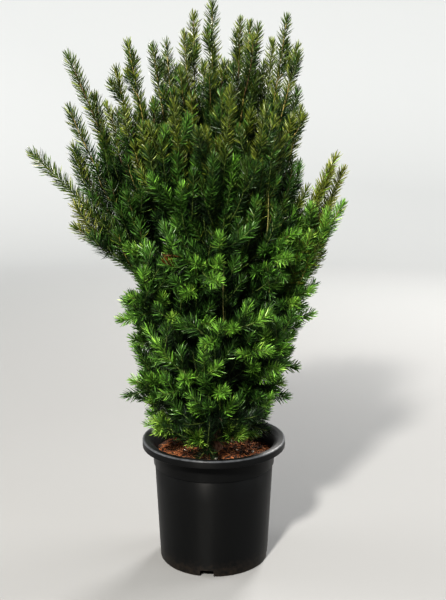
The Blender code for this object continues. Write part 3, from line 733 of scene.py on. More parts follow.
def pot_material():
    """Satin black moulded plastic: turning marks, a lip lightened by wear and a painted highlight, dust low
    down.
    """
    made, tree, place = new_material("pot")
    height = node_of(tree, "ShaderNodeSeparateXYZ", "Z", {"Vector": place})
    specks = noise_node(tree, place, *POT_SPECKS)
    dusty = product(tree, range_node(tree, height, (DUST_HEIGHT, 0.0)), specks)
    wall = ramp_node(tree, dusty, ((0.30, POT_BLACK), (0.80, POT_DUST)))
    rubbing_and_sheen = noise_node(tree, squeezed(tree, place, RUBBING_AND_SHEEN_STRETCH), *POT_RUBBING_AND_SHEEN)
    # The rim's outer edge turns pale grey-blue: wear, and a painted highlight along the lip
    edge = [radius**2 for radius in RUBBED_LIT_RADII]
    outer = range_node(tree, squared_radius(tree, place), edge)
    high = range_node(tree, height, RUBBED_LIT_HEIGHTS)
    rim = product(tree, product(tree, outer, high), rubbing_and_sheen)
    scuffs_and_highlight = ramp_node(tree, rim, ((0.15, (0.0, 0.0, 0.0)), (0.50, (1.0, 1.0, 1.0))))
    worn_highlight = ramp_node(tree, specks, ((0.3, POT_WORN_HIGHLIGHT), (0.7, POT_WORN_HIGHLIGHT_PALE)))
    layers = {"Factor": scuffs_and_highlight, "A": wall, "B": worn_highlight}
    round_axis = {"direction_type": "RADIAL", "axis": "Z"}
    values = {
        "Base Color": node_of(tree, "ShaderNodeMix", "Result", layers, data_type="RGBA"),
        "Roughness": range_node(tree, rubbing_and_sheen, (0.0, 1.0), POT_ROUGHNESS),
        "Specular IOR Level": POT_SHINE,
        "Anisotropic": TURNING_MARKS,
        "Anisotropic Rotation": 0.25,
        "Tangent": node_of(tree, "ShaderNodeTangent", "Tangent", {}, **round_axis),
        "Normal": bump_node(tree, noise_node(tree, place, *POT_PORES), *PORE_RELIEF),
    }
    return finished(made, values)


# Meshes


def piece(name, mesh, material, slot, *nodes):
    """A visible piece on the one body, with its finish, in place of those nodes."""
    made = placed(name, mesh)
    mesh.materials.append(material)
    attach(made, "root")
    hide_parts(*nodes)


def mesh_of(name, vertices, faces, smooth=True):
    mesh = bpy.data.meshes.new(name)
    mesh.from_pydata(vertices, [], faces)
    if smooth:
        mesh.shade_smooth()
    return mesh


def joined(shapes):
    """The vertices and faces of many shapes in one."""
    vertices = []
    faces = []
    for rows, sides in shapes:
        first = len(vertices)
        vertices.extend(map(tuple, rows))
        faces.extend(tuple(first + corner for corner in face) for face in sides)
    return vertices, faces


def ring_faces(rings, sides):
    """Faces between rings of vertices, one ring after the other."""
    faces = []
    for low in range(0, (rings - 1) * sides, sides):
        for side in range(sides):
            after = (side + 1) % sides
            faces.append((low + side, low + after, low + sides + after, low + sides + side))
    return faces


def arc(centre, radius, start_deg, end_deg, steps):
    """Points of (radius, height) along an arc of a profile."""
    turns = [math.radians(start_deg + (end_deg - start_deg) * n / steps) for n in range(steps + 1)]
    return [
        (centre[0] + radius * math.cos(turn), centre[1] + radius * math.sin(turn)) for turn in turns
    ]


def turned_mesh(name, profile, sides):
    """A profile of (radius, height) points turned round the upright axis."""
    outline = bpy.data.meshes.new(f"{name}_outline")
    points = [(radius, 0.0, height) for radius, height in profile]
    outline.from_pydata(points, [(i, i + 1) for i in range(len(points) - 1)], [])
    made = placed(name, outline)
    screw = made.modifiers.new("Turn", "SCREW")
    screw.steps = sides
    screw.render_steps = sides
    screw.use_merge_vertices = True
    screw.merge_threshold = 0.00001
    return applied(made)


def applied(obj):
    """The object's evaluated mesh; the object itself is removed."""
    graph = bpy.context.evaluated_depsgraph_get()
    mesh = bpy.data.meshes.new_from_object(obj.evaluated_get(graph))
    bpy.data.objects.remove(obj)
    return mesh


# Pot and potting mix


def wall_radius(height):
    """Outer radius of the pot's wall, with its step."""
    if height < STEP_HEIGHT:
        return FOOT_RADIUS + (STEP_RADIUS - FOOT_RADIUS) * height / STEP_HEIGHT
    share = (height - STEP_HEIGHT) / (POT_HEIGHT - STEP_HEIGHT)
    collar = STEP_RADIUS + STEP_WIDTH
    return collar + (NECK_RADIUS - collar) * share


def inner_radius(height):
    """Inner radius of the pot's wall."""
    top = POT_HEIGHT - LIP_FLARE
    outer = (FOOT_RADIUS, wall_radius(STEP_HEIGHT - POT_WALL), wall_radius(top))
    return float(np.interp(height, (POT_WALL, STEP_HEIGHT, top), outer)) - POT_WALL


def pot_profile():
    """The pot's section: floor, inside wall, flared lip, rolled rim, skirt, step and foot."""
    under_rim = POT_HEIGHT - RIM_DEPTH
    under_flare = POT_HEIGHT - LIP_FLARE
    under_lip = under_flare - POT_WALL
    skirt_radius = RIM_RADIUS - POT_WALL
    edge = POT_WALL / 2
    heights = (POT_WALL, *WALL_HEIGHTS, STEP_HEIGHT, under_flare)
    profile = [(0.0, POT_WALL)]
    profile += [(inner_radius(height), height) for height in heights]
    profile += [(LIP_INNER_RADIUS + out, POT_HEIGHT + up) for out, up in LIP_POINTS]
    profile += arc((RIM_RADIUS - LIP_ROUNDING, POT_HEIGHT - LIP_ROUNDING), LIP_ROUNDING, 90.0, 0.0, 8)
    profile += arc((RIM_RADIUS - edge, under_rim + edge), edge, 0.0, -180.0, 8)
    profile += [
        (skirt_radius, under_lip - SKIRT_CORNER),
        (skirt_radius - SKIRT_CORNER, under_lip),
        (wall_radius(under_lip) + SKIRT_CORNER, under_lip),
        (wall_radius(under_lip - SKIRT_CORNER), under_lip - SKIRT_CORNER),
    ]
    profile += [(STEP_RADIUS + out, STEP_HEIGHT + up) for out, up in STEP_POINTS]
    heights = (STEP_HEIGHT - STEP_FILLET, *reversed(WALL_HEIGHTS))
    profile += [(wall_radius(height), height) for height in heights]
    profile += arc((FOOT_RADIUS - FOOT_ROUNDING, FOOT_ROUNDING), FOOT_ROUNDING, 0.0, -90.0, 6)
    profile.append((0.0, 0.0))
    return profile


def notch_mesh():
    """A block with rounded upright edges at its top."""
    mesh = bpy.data.meshes.new("notch")
    bm = bmesh.new()
    bmesh.ops.create_cube(bm, size=1.0)
    bmesh.ops.scale(bm, vec=(NOTCH_DEPTH * 2, NOTCH_WIDTH, NOTCH_HEIGHT * 2), verts=bm.verts)
    top = [edge for edge in bm.edges if all(v.co.z > 0 for v in edge.verts)]
    sides = [edge for edge in top if abs(edge.verts[0].co.y - edge.verts[1].co.y) < 1e-6]
    bmesh.ops.bevel(bm, geom=sides, offset=NOTCH_ROUNDING, segments=5, profile=0.5, affect="EDGES")
    bm.to_mesh(mesh)
    bm.free()
    return mesh


def make_pot():
    pot = placed("pot", turned_mesh("pot", pot_profile(), POT_SIDES))
    for number in range(NOTCH_COUNT):
        turn = math.radians(NOTCH_FIRST_DEG + number * 360.0 / NOTCH_COUNT)
        notch = placed("notch", notch_mesh())
        notch.location = (FOOT_RADIUS * math.cos(turn), FOOT_RADIUS * math.sin(turn), 0.0)
        notch.rotation_euler = (0.0, 0.0, turn)
        cut = pot.modifiers.new("Notch", "BOOLEAN")
        cut.operation = "DIFFERENCE"
        cut.solver = "EXACT"
        cut.object = notch
        mesh = applied(pot)
        bpy.data.objects.remove(notch)
        pot = placed("pot", mesh)
    bpy.data.objects.remove(pot)
    mesh.materials.clear()
    mesh.shade_smooth()
    mesh.set_sharp_from_angle(angle=math.radians(SHARP_EDGE_DEG))
    piece("pot_body", mesh, pot_material(), "pot", "pot")


def soil_height(x, y):
    """Height of the potting mix's surface, lumpy and a little higher round the trunk."""
    place = Vector((x * SOIL_LUMPS, y * SOIL_LUMPS, 0.0))
    lumps = SOIL_RELIEF * noise.noise(place) + SOIL_FINE_RELIEF * noise.noise(place * SOIL_CRUMBS)
    mound = MOUND_HEIGHT * math.exp(-((x * x + y * y) / MOUND_RADIUS**2))
    return SOIL_TOP - SOIL_SINK + lumps + mound


def make_soil(dice):
    edge = inner_radius(SOIL_TOP) - GAP
    spots = [(0.0, 0.0)]
    for ring in range(1, SOIL_RINGS + 1):
        radius = edge * ring / SOIL_RINGS
        turns = [2 * math.pi * side / SOIL_SIDES for side in range(SOIL_SIDES)]
        spots += [(radius * math.cos(turn), radius * math.sin(turn)) for turn in turns]
    vertices = [(x, y, soil_height(x, y)) for x, y in spots]
    faces = [(0, 1 + side, 1 + (side + 1) % SOIL_SIDES) for side in range(SOIL_SIDES)]
    faces += [(a + 1, d + 1, c + 1, b + 1) for a, b, c, d in ring_faces(SOIL_RINGS, SOIL_SIDES)]
    finish = mix_material("potting_mix", *SOIL_COLOURS, MIX_SCALE)
    piece("soil_bed", mesh_of("soil_bed", vertices, faces), finish, "soil", "soil")
    for name, count, dark, light in CHIPS:
        mesh = mesh_of(name, *joined(chip(edge, dice) for _ in range(count)), smooth=False)
        piece(name, mesh, mix_material(name, dark, light, CHIP_SCALE), "soil")
    fibres = mesh_of("coir_fibres", *joined(fibre(edge, dice) for _ in range(FIBRE_COUNT)))
    piece("coir_fibres", fibres, mix_material("coir", *FIBRE_COLOURS, FIBRE_SCALE), "soil")


def spot_on_soil(edge, margin, dice):
    radius = (edge - margin) * math.sqrt(dice.random())
    turn = dice.uniform(0, 2 * math.pi)
    return radius * math.cos(turn), radius * math.sin(turn)


def chip(edge, dice):
    """A flat splinter of bark, half sunk in the mix, with uneven corners."""
    length = dice.uniform(*CHIP_LENGTHS)
    width = length * dice.uniform(*CHIP_WIDTHS)
    depth = width * dice.uniform(*CHIP_DEPTHS)
    x, y = spot_on_soil(edge, length * CHIP_MARGIN, dice)
    turn = Matrix.Rotation(dice.uniform(0, 2 * math.pi), 3, "Z")
    tilt = Matrix.Rotation(dice.gauss(0, CHIP_ROLL), 3, "X")
    tilt = tilt @ Matrix.Rotation(dice.gauss(0, CHIP_PITCH), 3, "Y")
    middle = Vector((x, y, soil_height(x, y) + depth * CHIP_RISE))
    vertices = []
    for corner in range(8):
        signs = (corner & 1, corner >> 1 & 1, corner >> 2 & 1)
        place = Vector(
            (sign - 0.5) * size * dice.uniform(*CHIP_CORNERS)
            for sign, size in zip(signs, (length, width, depth))
        )
        vertices.append(middle + turn @ (tilt @ place))
    return vertices, ((0, 2, 3, 1), (4, 5, 7, 6), (0, 1, 5, 4), (2, 6, 7, 3), (0, 4, 6, 2), (1, 3, 7, 5))


def fibre(edge, dice):
    """A thin curled strand that lies on the mix."""
    radius = dice.uniform(*FIBRE_RADII)
    step = dice.uniform(*FIBRE_STEP_LENGTHS)
    x, y = spot_on_soil(edge, step * FIBRE_STEPS, dice)
    heading = dice.uniform(0, 2 * math.pi)
    curl = dice.gauss(0, FIBRE_CURL)
    vertices = []
    for number in range(FIBRE_STEPS + 1):
        x += step * math.cos(heading)
        y += step * math.sin(heading)
        heading += curl
        arch = FIBRE_ARCH * math.sin(math.pi * number / FIBRE_STEPS)
        height = soil_height(x, y) + FIBRE_LIFT + arch
        for side in range(FIBRE_SIDES):
            turn = 2 * math.pi * side / FIBRE_SIDES
            across = radius * math.cos(turn)
            place = (x - across * math.sin(heading), y + across * math.cos(heading))
            vertices.append((*place, height + radius * math.sin(turn)))
    return vertices, ring_faces(FIBRE_STEPS + 1, FIBRE_SIDES)


# Growth rule, as in the solids


def curve_point(start, bend, end, share):
    """A point on the quadratic curve from start to end, drawn towards bend."""
    return start * (1 - share) ** 2 + bend * 2 * share * (1 - share) + end * share**2


def trunk_axis(height):
    """Middle of the trunk at that height."""
    share = max(0.0, height - SOIL_TOP - FLARE_HEIGHT) / (TRUNK_TOP - SOIL_TOP - FLARE_HEIGHT)
    sway = TRUNK_SWAY * math.sin(share * math.pi * 2.0)
    return Vector((TRUNK_LEAN[0] * share + sway, TRUNK_LEAN[1] * share, height))


def trunk_radius(height):
    above = height - SOIL_TOP
    share = above / (TRUNK_TOP - SOIL_TOP)
    flare = (FLARE_RADIUS - TRUNK_RADIUS) * max(0.0, 1 - above / FLARE_HEIGHT) ** 2
    return TRUNK_RADIUS + (TRUNK_TIP_RADIUS - TRUNK_RADIUS) * share + flare


def on_trunk(height, direction, radius):
    """Where a limb of that radius, leaving the trunk in that direction, starts just clear of its bark."""
    outward = Vector((direction.x, direction.y, 0.0)).normalized()
    across = max(LEAST_OUTWARD, direction.dot(outward))
    along = abs(direction.z)
    return trunk_axis(height) + direction * ((trunk_radius(height) + GAP + radius * along) / across)


def bough_path(foot_height, aim):
    """A bough that leaves the trunk outwards and then climbs towards its aim."""
    middle = trunk_axis(foot_height)
    tip = middle.lerp(Vector(aim), BOUGH_SHARE)
    away = tip - middle
    level = Vector((away.x, away.y, 0.0))
    bend = middle + level * BOUGH_BEND + Vector((0.0, 0.0, away.z * (1 - BOUGH_BEND)))
    direction = (bend - middle).normalized()
    return on_trunk(foot_height, direction, BOUGH_FOOT_RADIUS + GAP), bend, tip


def stem_path(start, tip, bulge):
    """The three points of a shoot's curve, which bulges outwards, or sags where bulge is below zero."""
    along = tip - start
    outward = Vector((along.x, along.y, 0.0))
    bend = start + along * 0.5 + outward * bulge - Vector((0.0, 0.0, along.length * bulge))
    return start, bend, tip


def along_path(path):
    """Points along a shoot's curve."""
    count = max(3, round((path[2] - path[0]).length / SITE_SPACING))
    return [curve_point(*path, number / count) for number in range(count + 1)]


def side_shoots(stem, count, length, opening, span, seed, upturn=TURN_UP):
    """Shoots that leave a stem a golden angle apart, open outwards and then turn up."""
    dice = random.Random(seed)
    spin = dice.uniform(0, 360)
    shoots = []
    for number in range(count):
        share = span[0] + (span[1] - span[0]) * (number + dice.uniform(*SITE_RANGE)) / count
        foot = curve_point(*stem, share)
        along = (curve_point(*stem, share + LOOK_AHEAD) - foot).normalized()
        side = along.orthogonal().normalized()
        side.rotate(Matrix.Rotation(math.radians(spin + number * GOLDEN_DEG), 3, along))
        opened = math.radians(opening) * dice.uniform(*OPENING_RANGE)
        heading = along * math.cos(opened) + side * math.sin(opened)
        reach = length * dice.uniform(*LENGTH_RANGE) * (LOWEST_LENGTH - LENGTH_TAPER * share)
        end = foot + (heading + Vector((0.0, 0.0, upturn))).normalized() * reach
        shoots.append((foot, foot + heading * reach * SHOOT_BEND, end))
    return shoots


def tier_reach(azimuth, left, right):
    """Reach of a tier in that direction, between its reach to the left and to the right."""
    return (left + right) / 2 + (right - left) / 2 * math.cos(azimuth)


def tree_of(points):
    tree = KDTree(len(points))
    for number, point in enumerate(points):
        tree.insert(point, number)
    tree.balance()
    return tree


def clearance(path, others):
    """Least distance from a path's points to a tree of points."""
    shares = [number / CURVE_CHECKS for number in range(CURVE_CHECKS + 1)]
    return min(others.find(curve_point(*path, share))[2] for share in shares)


def spaced(points):
    """Points along a limb's broken line."""
    found = []
    for a, b in zip(points, points[1:]):
        parts = max(1, round((b - a).length / LIMB_SPACING))
        found.extend(a.lerp(b, number / parts) for number in range(parts))
    return found + [points[-1]]


def leader_stems(points, tips):
    """A leader's stem, which goes on from the end of its limb, and the stem's forks."""
    onward = (points[-1] - points[-2]).normalized()
    start = points[-1] + onward * GAP * 2
    tip = Vector(tips[0])
    stem = (start, start + onward * (tip - start).length * LEADER_ONWARD, tip)
    stems = [stem]
    for share, tip in zip(LEADER_FORKS, tips[1:]):
        stems.append(stem_path(curve_point(*stem, share), Vector(tip), LEADER_BULGE))
    return stems


def tier_stem(row, number, lift, limbs):
    """A stem of a tier, turned aside from the limbs until it has room."""
    _, count, first, foot, height, left, right = row
    best = (-1.0, None)
    for aside in TURN_ASIDE_DEG:
        azimuth = math.radians(first + number * 360.0 / count + aside)
        reach = tier_reach(azimuth, left, right)
        tip = Vector((math.cos(azimuth) * reach, math.sin(azimuth) * reach, height + lift))
        _, bend, _ = stem_path(trunk_axis(foot), tip, TIER_BULGE)
        away = (bend - trunk_axis(foot)).normalized()
        stem = stem_path(on_trunk(foot, away, STEM_RADIUS + GAP), tip, TIER_BULGE)
        room = clearance(stem, limbs)
        if room > best[0]:
            best = (room, stem)
        if room > STEM_CLEARANCE:
            break
    return best[1]


def plan_crown():
    """Every mass as (name, main shoots, twigs, young), and the boughs as (name, path)."""
    boughs = []
    masses = []
    taken = []
    for number, (name, foot_height, aim, tips) in enumerate(LEADERS):
        points = [trunk_axis(TRUNK_TOP - TOP_SEGMENT), trunk_axis(TRUNK_TOP)]
        if aim:
            path = bough_path(foot_height, aim)
            points = [curve_point(*path, step / BOUGH_SEGMENTS) for step in range(BOUGH_SEGMENTS + 1)]
            boughs.append((f"bough_{name}", path))
            taken.extend(spaced(points))
        stems = leader_stems(points, tips)
        masses.append((f"leader_{name}", stems, side_shoots(stems[0], *LEADER_SPRAY, number), False))
        for path in stems:
            taken.extend(along_path(path))
    for level, row in enumerate(TIERS):
        for number in range(row[1]):
            dice = random.Random(TIER_SEED + level * 10 + number)
            lift = dice.uniform(-TIER_JITTER, TIER_JITTER) + TIER_ZIGZAG * (-1) ** number
            stem = tier_stem(row, number, lift, tree_of(taken))
            taken.extend(along_path(stem))
            twigs = side_shoots(stem, *TIER_SPRAY, SPRAY_SEED + level * 10 + number)
            masses.append((f"{row[0]}_{number + 1}", [stem], twigs, True))
    return masses, boughs


# Finer shoots


class Heads:
    """Keeps the heads of the shoots apart, by a grid of cells as large as the widest spacing."""

    def __init__(self, widest):
        self.widest = widest
        self.cells = {}

    def cell(self, place):
        return tuple(math.floor(value / self.widest) for value in place)

    def crowded(self, place, spacing):
        ranges = [(value - 1, value, value + 1) for value in self.cell(place)]
        for cell in itertools.product(*ranges):
            if any((other - place).length < spacing for other in self.cells.get(cell, ())):
                return True
        return False

    def add(self, place):
        self.cells.setdefault(self.cell(place), []).append(place)


def floor_height(radius):
    """Lowest height that foliage may reach at that distance from the pot's axis."""
    return np.where(radius < LIP_INNER_RADIUS - SOIL_ROOM, SOIL_TOP + SOIL_ROOM, POT_HEIGHT + RIM_ROOM)


def has_room(path):
    """Whether a shoot's end keeps clear of the pot and inside the reach of the crown."""
    tip = path[2]
    if tip.z < floor_height(math.hypot(tip.x, tip.y)) + FLOOR_ROOM:
        return False
    return all(low + TIP_ROOM < value < high - TIP_ROOM for low, value, high in zip(CAD_LOW, tip, CAD_HIGH))


def body_reach(place):
    """Reach of the body's shoots at that height and in that direction, from the tiers on both sides."""
    azimuth = math.atan2(place.y, place.x)
    _, _, _, _, heights, lefts, rights = zip(*TIERS)
    left = np.interp(place.z, heights, lefts)
    right = np.interp(place.z, heights, rights)
    low = min(1.0, max(0.0, (FRONT_TOP - place.z) / (FRONT_TOP - SOIL_TOP)))
    front = max(0.0, -math.sin(azimuth)) ** 2
    return tier_reach(azimuth, left, right) * (1 - FRONT_FALLBACK * front * low)


def reach_at(place, name):
    """How far from the solids' own shoots a mass's finer one may end there."""
    reach = np.interp(place.z, CROWN_HEIGHTS, (LOW_REACH, TOP_REACH))
    out = math.hypot(place.x, place.y)
    if name.endswith("_arm"):
        return reach * np.interp(out + ARM_RISE * (place.z - ARM_HEIGHT), ARM_RADII, (1.0, ARM_SHARE))
    return reach * np.interp(out, OUTER_RADII, (1.0, ARM_SHARE))


def kept_in(path, margin):
    """A body shoot drawn back towards its foot until its tip is within the body's reach."""
    for step in range(DRAW_BACK_STEPS):
        points = [path[0].lerp(point, 1 - DRAW_BACK * step) for point in path]
        if math.hypot(points[2].x, points[2].y) < body_reach(points[2]) + margin:
            return tuple(points)
    return None


def own_margin(tip):
    """How far past the body's reach one of the solids' own shoots may end."""
    front = tip.y < 0 and abs(tip.x) < FRONT_HALF_WIDTH and tip.z > FRONT_TOP
    return FRONT_MARGIN if front else OWN_MARGIN


def borne(name, path, rows, seed, young, spacing, heads, own):
    """The finer shoots of a parent that have room, and whose heads keep their spacing."""
    size = (path[2] - path[0]).length
    kept = []
    for apart, length, opening, upturn, span in rows:
        count = max(2, round(size * (span[1] - span[0]) / apart))
        for child in side_shoots(path, count, length, opening, span, seed, upturn):
            child = kept_in(child, FINE_MARGIN) if young else child
            if not child or (child[2] - child[0]).length < LEAST_SHARE * length:
                continue
            head = curve_point(*child, HEAD_SHARE)
            far = own.find(child[2])[2] > reach_at(child[2], name)
            if far or heads.crowded(head, spacing) or not has_room(child):
                continue
            heads.add(head)
            kept.append(child)
    return kept


def fine_rows(name, young):
    """The rows of finer shoots that a mass may bear, generation by generation."""
    if name.startswith("skirt"):
        return SKIRT_FINE
    return TIER_FINE if young else LEADER_FINE


def head_spacing(name, tip):
    """How far apart the heads of the shoots stand that a mass's parent bears."""
    if name.startswith(APART_MASSES):
        return APART_SPACING
    return np.interp(tip.z, CROWN_HEIGHTS, (HEAD_SPACING, TOP_SPACING))


def grow(masses):
    """Every shoot as (mass name, path, level, young): the solids' own, then finer ones."""
    heads = Heads(APART_SPACING)
    shoots = []
    for name, main, twigs, young in masses:
        for number, path in enumerate([*main, *twigs]):
            path = kept_in(path, own_margin(path[2])) if young else path
            if path:
                shoots.append((name, path, 0 if number < len(main) else 1, young))
    points = []
    for _, path, _, _ in shoots:
        points.extend(along_path(path))
        heads.add(curve_point(*path, HEAD_SHARE))
        heads.add(path[2])
    own = tree_of(points)
    parents = list(shoots)
    for level in range(2):
        children = []
        for number, (name, path, _, young) in enumerate(parents):
            rows = fine_rows(name, young)[level]
            seed = FINE_SEED * (level + 1) + number
            spacing = head_spacing(name, path[2])
            for child in borne(name, path, rows, seed, young, spacing, heads, own):
                children.append((name, child, level + 2, young))
        shoots += children
        parents += children
    stems = [row for row in parents if row[3] and row[2] == 0]
    for number, (name, path, _, young) in enumerate(stems):
        seed = INNER_SEED + number
        for child in borne(name, path, INNER_FINE, seed, young, INNER_SPACING, heads, own):
            shoots.append((name, child, 3, young))
    return shoots + tufts(shoots)


def tufts(shoots):
    """Short bright sprays at the front of the skirt, on the skirt's nearest stem."""
    stems = [(name, path) for name, path, level, _ in shoots if name.startswith("skirt") and level == 0]
    made = []
    for number, place in enumerate(TUFTS):
        tip = Vector(place)
        name, path = min(stems, key=lambda row: (row[1][2] - tip).length)
        foot = curve_point(*path, TUFT_FOOT)
        stem = (foot, foot.lerp(tip, 0.5) - Vector((0.0, 0.0, TUFT_SAG)), tip)
        made.append((name, stem, 1, True))
        for child in side_shoots(stem, *TUFT_SPRAY, TUFT_SEED + number, TUFT_TURN_UP):
            made.append((name, child, 3, True))
    return made


# Needles


def on_curve(path, shares):
    """Places and headings along a shoot's curve, as rows."""
    start, bend, end = (np.array(point) for point in path)
    s = shares[:, None]
    places = start * (1 - s) ** 2 + bend * 2 * s * (1 - s) + end * s**2
    headings = (bend - start) * 2 * (1 - s) + (end - bend) * 2 * s
    return places, unit(headings)


def unit(rows):
    return rows / np.maximum(np.linalg.norm(rows, axis=1), 1e-12)[:, None]


def between(first, second, angles):
    """Rows of directions, turned by those angles from first towards second."""
    return first * np.cos(angles)[:, None] + second * np.sin(angles)[:, None]


def full_length(name, tip, young):
    """Length of a shoot's longest needles."""
    if young or tip.z > APEX_HEIGHT:
        return NEEDLE_LENGTH
    return LEFT_NEEDLE_LENGTH if name in LEFT_PLUMES else LEADER_NEEDLE_LENGTH


def needles_on(name, path, level, young, rng):
    """The needles along a shoot: feet, headings, tipward sides, flat sides, lengths and turns."""
    leafy_from = BARE_SHARES.get((level, young), FINE_BARE_SHARE)
    leafy = ((path[1] - path[0]).length + (path[2] - path[1]).length) * (1 - leafy_from)
    count = max(LEAST_NEEDLES, round(leafy / (BODY_SPACING if young else LEADER_SPACING)))
    share = (np.arange(count) + rng.random(count) * NEEDLE_SLACK) / count
    share = np.minimum(share, 1.0) ** NEEDLE_CROWDING
    feet, along = on_curve(path, leafy_from + (1 - leafy_from) * share)
    closing = np.exp(-(1 - share) * leafy / TIP_CLOSING)
    side = unit(np.cross(along, np.cross(np.array(path[2] - path[0]), ASKEW)))
    turn = np.radians(GOLDEN_DEG) * np.arange(count) + rng.random() * NEEDLE_SPIN
    outward = between(side, np.cross(along, side), turn + rng.normal(0, TURN_SPREAD, count))
    wide = YOUNG_OPENING_DEG if young else OLD_OPENING_DEG
    opening = wide + (TIP_OPENING_DEG - wide) * closing + rng.normal(0, OPENING_SPREAD_DEG, count)
    heading = between(along, outward, np.radians(opening))
    heading[:, 2] += NEEDLE_LIFT
    heading = unit(heading)
    tipward = unit(along - heading * np.sum(along * heading, axis=1)[:, None])
    twist = np.radians(rng.uniform(-BLADE_TWIST_DEG, BLADE_TWIST_DEG, count))
    flat = between(tipward, np.cross(heading, tipward), twist)
    foot_growth = 1 - SHORT_AT_FOOT * (1 - np.minimum(1, share / FOOT_STRETCH))
    size = full_length(name, path[2], young) * foot_growth * (1 - SHORT_AT_TIP * closing)
    size = size * rng.normal(1, LENGTH_SPREAD, count)
    turned = np.radians(rng.uniform(-BLADE_TURN_DEG, BLADE_TURN_DEG, count))
    return (feet, heading, tipward, flat, size, turned), share


def blades(feet, heading, tipward, flat, size, turned, inner):
    """Vertices and triangles of the needles: narrow blades that curve and turn towards their tips.

    Those inside the crown have fewer faces.
    """
    points, triangles = INNER_BLADE if inner else BLADE
    width = NEEDLE_WIDTH * (1 - LENGTH_IN_WIDTH + LENGTH_IN_WIDTH * size / NEEDLE_LENGTH)
    across = np.cross(heading, flat)
    far = between(across, flat, turned)
    corners = []
    for along, out, turns in points:
        corners.append(
            feet
            + heading * (along * size)[:, None]
            + (tipward * BLADE_CURVE + np.array(BLADE_RISE)) * (along**2 * size)[:, None]
            + (far if turns else across) * (out * width)[:, None]
        )
    vertices = np.stack(corners, axis=1).reshape(-1, 3)
    faces = np.arange(len(feet))[:, None, None] * len(points) + np.array(triangles)
    return vertices, faces.reshape(-1, 3)


def zone_of(name, path, level, young, sunny, dice):
    """The zone of the crown that a shoot's colours come from."""
    foot, _, tip = path
    if dice.random() < FRESH_LEADERS.get(name, 0.0):
        return "fresh leader"
    radius = math.hypot(tip.x, tip.y)
    # Low sprays at the front, apart from the tufts, take dark colours: painted shade
    if young and tip.y < 0 and tip.z < SHADE_HEIGHT and abs(tip.x) < SHADE_HALF_WIDTH:
        tuft = any((tip - Vector(middle)).length < TUFT_RADIUS for middle in TUFTS)
        return "tuft" if tuft else "shaded skirt"
    if young:
        if radius / body_reach(tip) > OUTER_SHARE and not sunny.crowded(tip, SUNNY_SPACING):
            sunny.add(tip)
            return "sunny body"
        # Shoots that start deep inside the body take the darkest colours: painted shade
        inside = math.hypot(foot.x, foot.y) / body_reach(foot)
        return "deep body" if inside < DEEP_SHARE else "body"
    if name == "leader_right_arm":
        return "golden arm" if tip.z > GOLDEN_HEIGHT else "green arm"
    if name in LEFT_PLUMES and radius > OLIVE_RADIUS:
        return "arm"
    if level == 0:
        return "leader"
    return "top" if tip.z > TOP_HEIGHT else "crown"


def dealt(mix, part, dice, rng):
    """A mix's colours, each with its needles among that part: most take the shoot's own colour."""
    colours = list(mix)
    shares = np.array(list(mix.values())) / sum(mix.values())
    own = dice.choices(range(len(colours)), shares)[0]
    strays = rng.random(len(part)) < STRAY_SHARE
    picks = np.where(strays, rng.choice(len(colours), len(part), p=shares), own)
    return [(colour, part & (picks == number)) for number, colour in enumerate(colours)]


def needle_groups(shoots):
    """Every colour's needles, as rows of (mass name, needles)."""
    groups = {colour: [] for colour in NEEDLE_COLOURS}
    sunny = Heads(SUNNY_SPACING)
    for number, (name, path, level, young) in enumerate(shoots):
        rng = np.random.default_rng(number)
        dice = random.Random(COLOUR_SEED + number)
        rows, share = needles_on(name, path, level, young, rng)
        tips = rows[0] + rows[1] * rows[4][:, None]
        kept = tips[:, 2] > floor_height(np.hypot(tips[:, 0], tips[:, 1]))
        base_mix, head_mix = NEEDLE_ZONES[zone_of(name, path, level, young, sunny, dice)]
        withered = kept & (tips[:, 1] < 0)
        for side, middle, size in zip((0, 2), RUST_PLACE, RUST_SIZE):
            withered &= abs(tips[:, side] - middle) < size
        kept &= ~withered
        at_head = share > dice.uniform(*(YOUNG_HEADS if young else OLD_HEADS))
        parts = [("rust", withered)]
        parts += dealt(base_mix, kept & ~at_head, dice, rng)
        parts += dealt(head_mix, kept & at_head, dice, rng)
        for colour, wanted in parts:
            if wanted.any():
                groups[colour].append((name, tuple(row[wanted] for row in rows)))
    return groups


def make_needles(shoots):
    """Needle pieces by colour."""
    for colour, members in needle_groups(shoots).items():
        finish = needle_material(colour, NEEDLE_COLOURS[colour])
        columns = [np.concatenate(column) for column in zip(*(rows for _, rows in members))]
        owners = np.concatenate([[name] * len(rows[0]) for name, rows in members])
        inner = colour in INNER_COLOURS
        most = NEEDLES_A_PIECE * (2 if inner else 1)
        for part in range(math.ceil(len(owners) / most)):
            chosen = slice(part * most, (part + 1) * most)
            vertices, faces = blades(*(column[chosen] for column in columns), inner)
            title = f"needles_{colour}_{part + 1}"
            mesh = mesh_of(title, vertices.tolist(), faces.tolist(), smooth=False)
            slot = "new_needles" if colour in YOUNG_COLOURS else "old_needles"
            piece(title, mesh, finish, slot, *sorted(set(owners[chosen].tolist())))
            print(title, len(owners[chosen]), "needles")


# Twigs


def tube(places, headings, radii, sides):
    """Vertices and faces of a round limb."""
    side = unit(np.cross(headings, ASKEW))
    turn = 2 * np.pi * np.arange(sides) / sides
    rings = (
        places[:, None]
        + side[:, None] * (radii[:, None] * np.cos(turn))[..., None]
        + np.cross(headings, side)[:, None] * (radii[:, None] * np.sin(turn))[..., None]
    )
    return rings.reshape(-1, 3), ring_faces(len(places), sides)


def twig_piece(kind, members):
    """A piece of twigs of one kind, from rows of (mass name, vertices and faces)."""
    mesh = mesh_of(f"twigs_{kind}", *joined(shape for _, shape in members))
    piece(f"twigs_{kind}", mesh, twig_material(kind), "bough", *sorted({name for name, _ in members}))


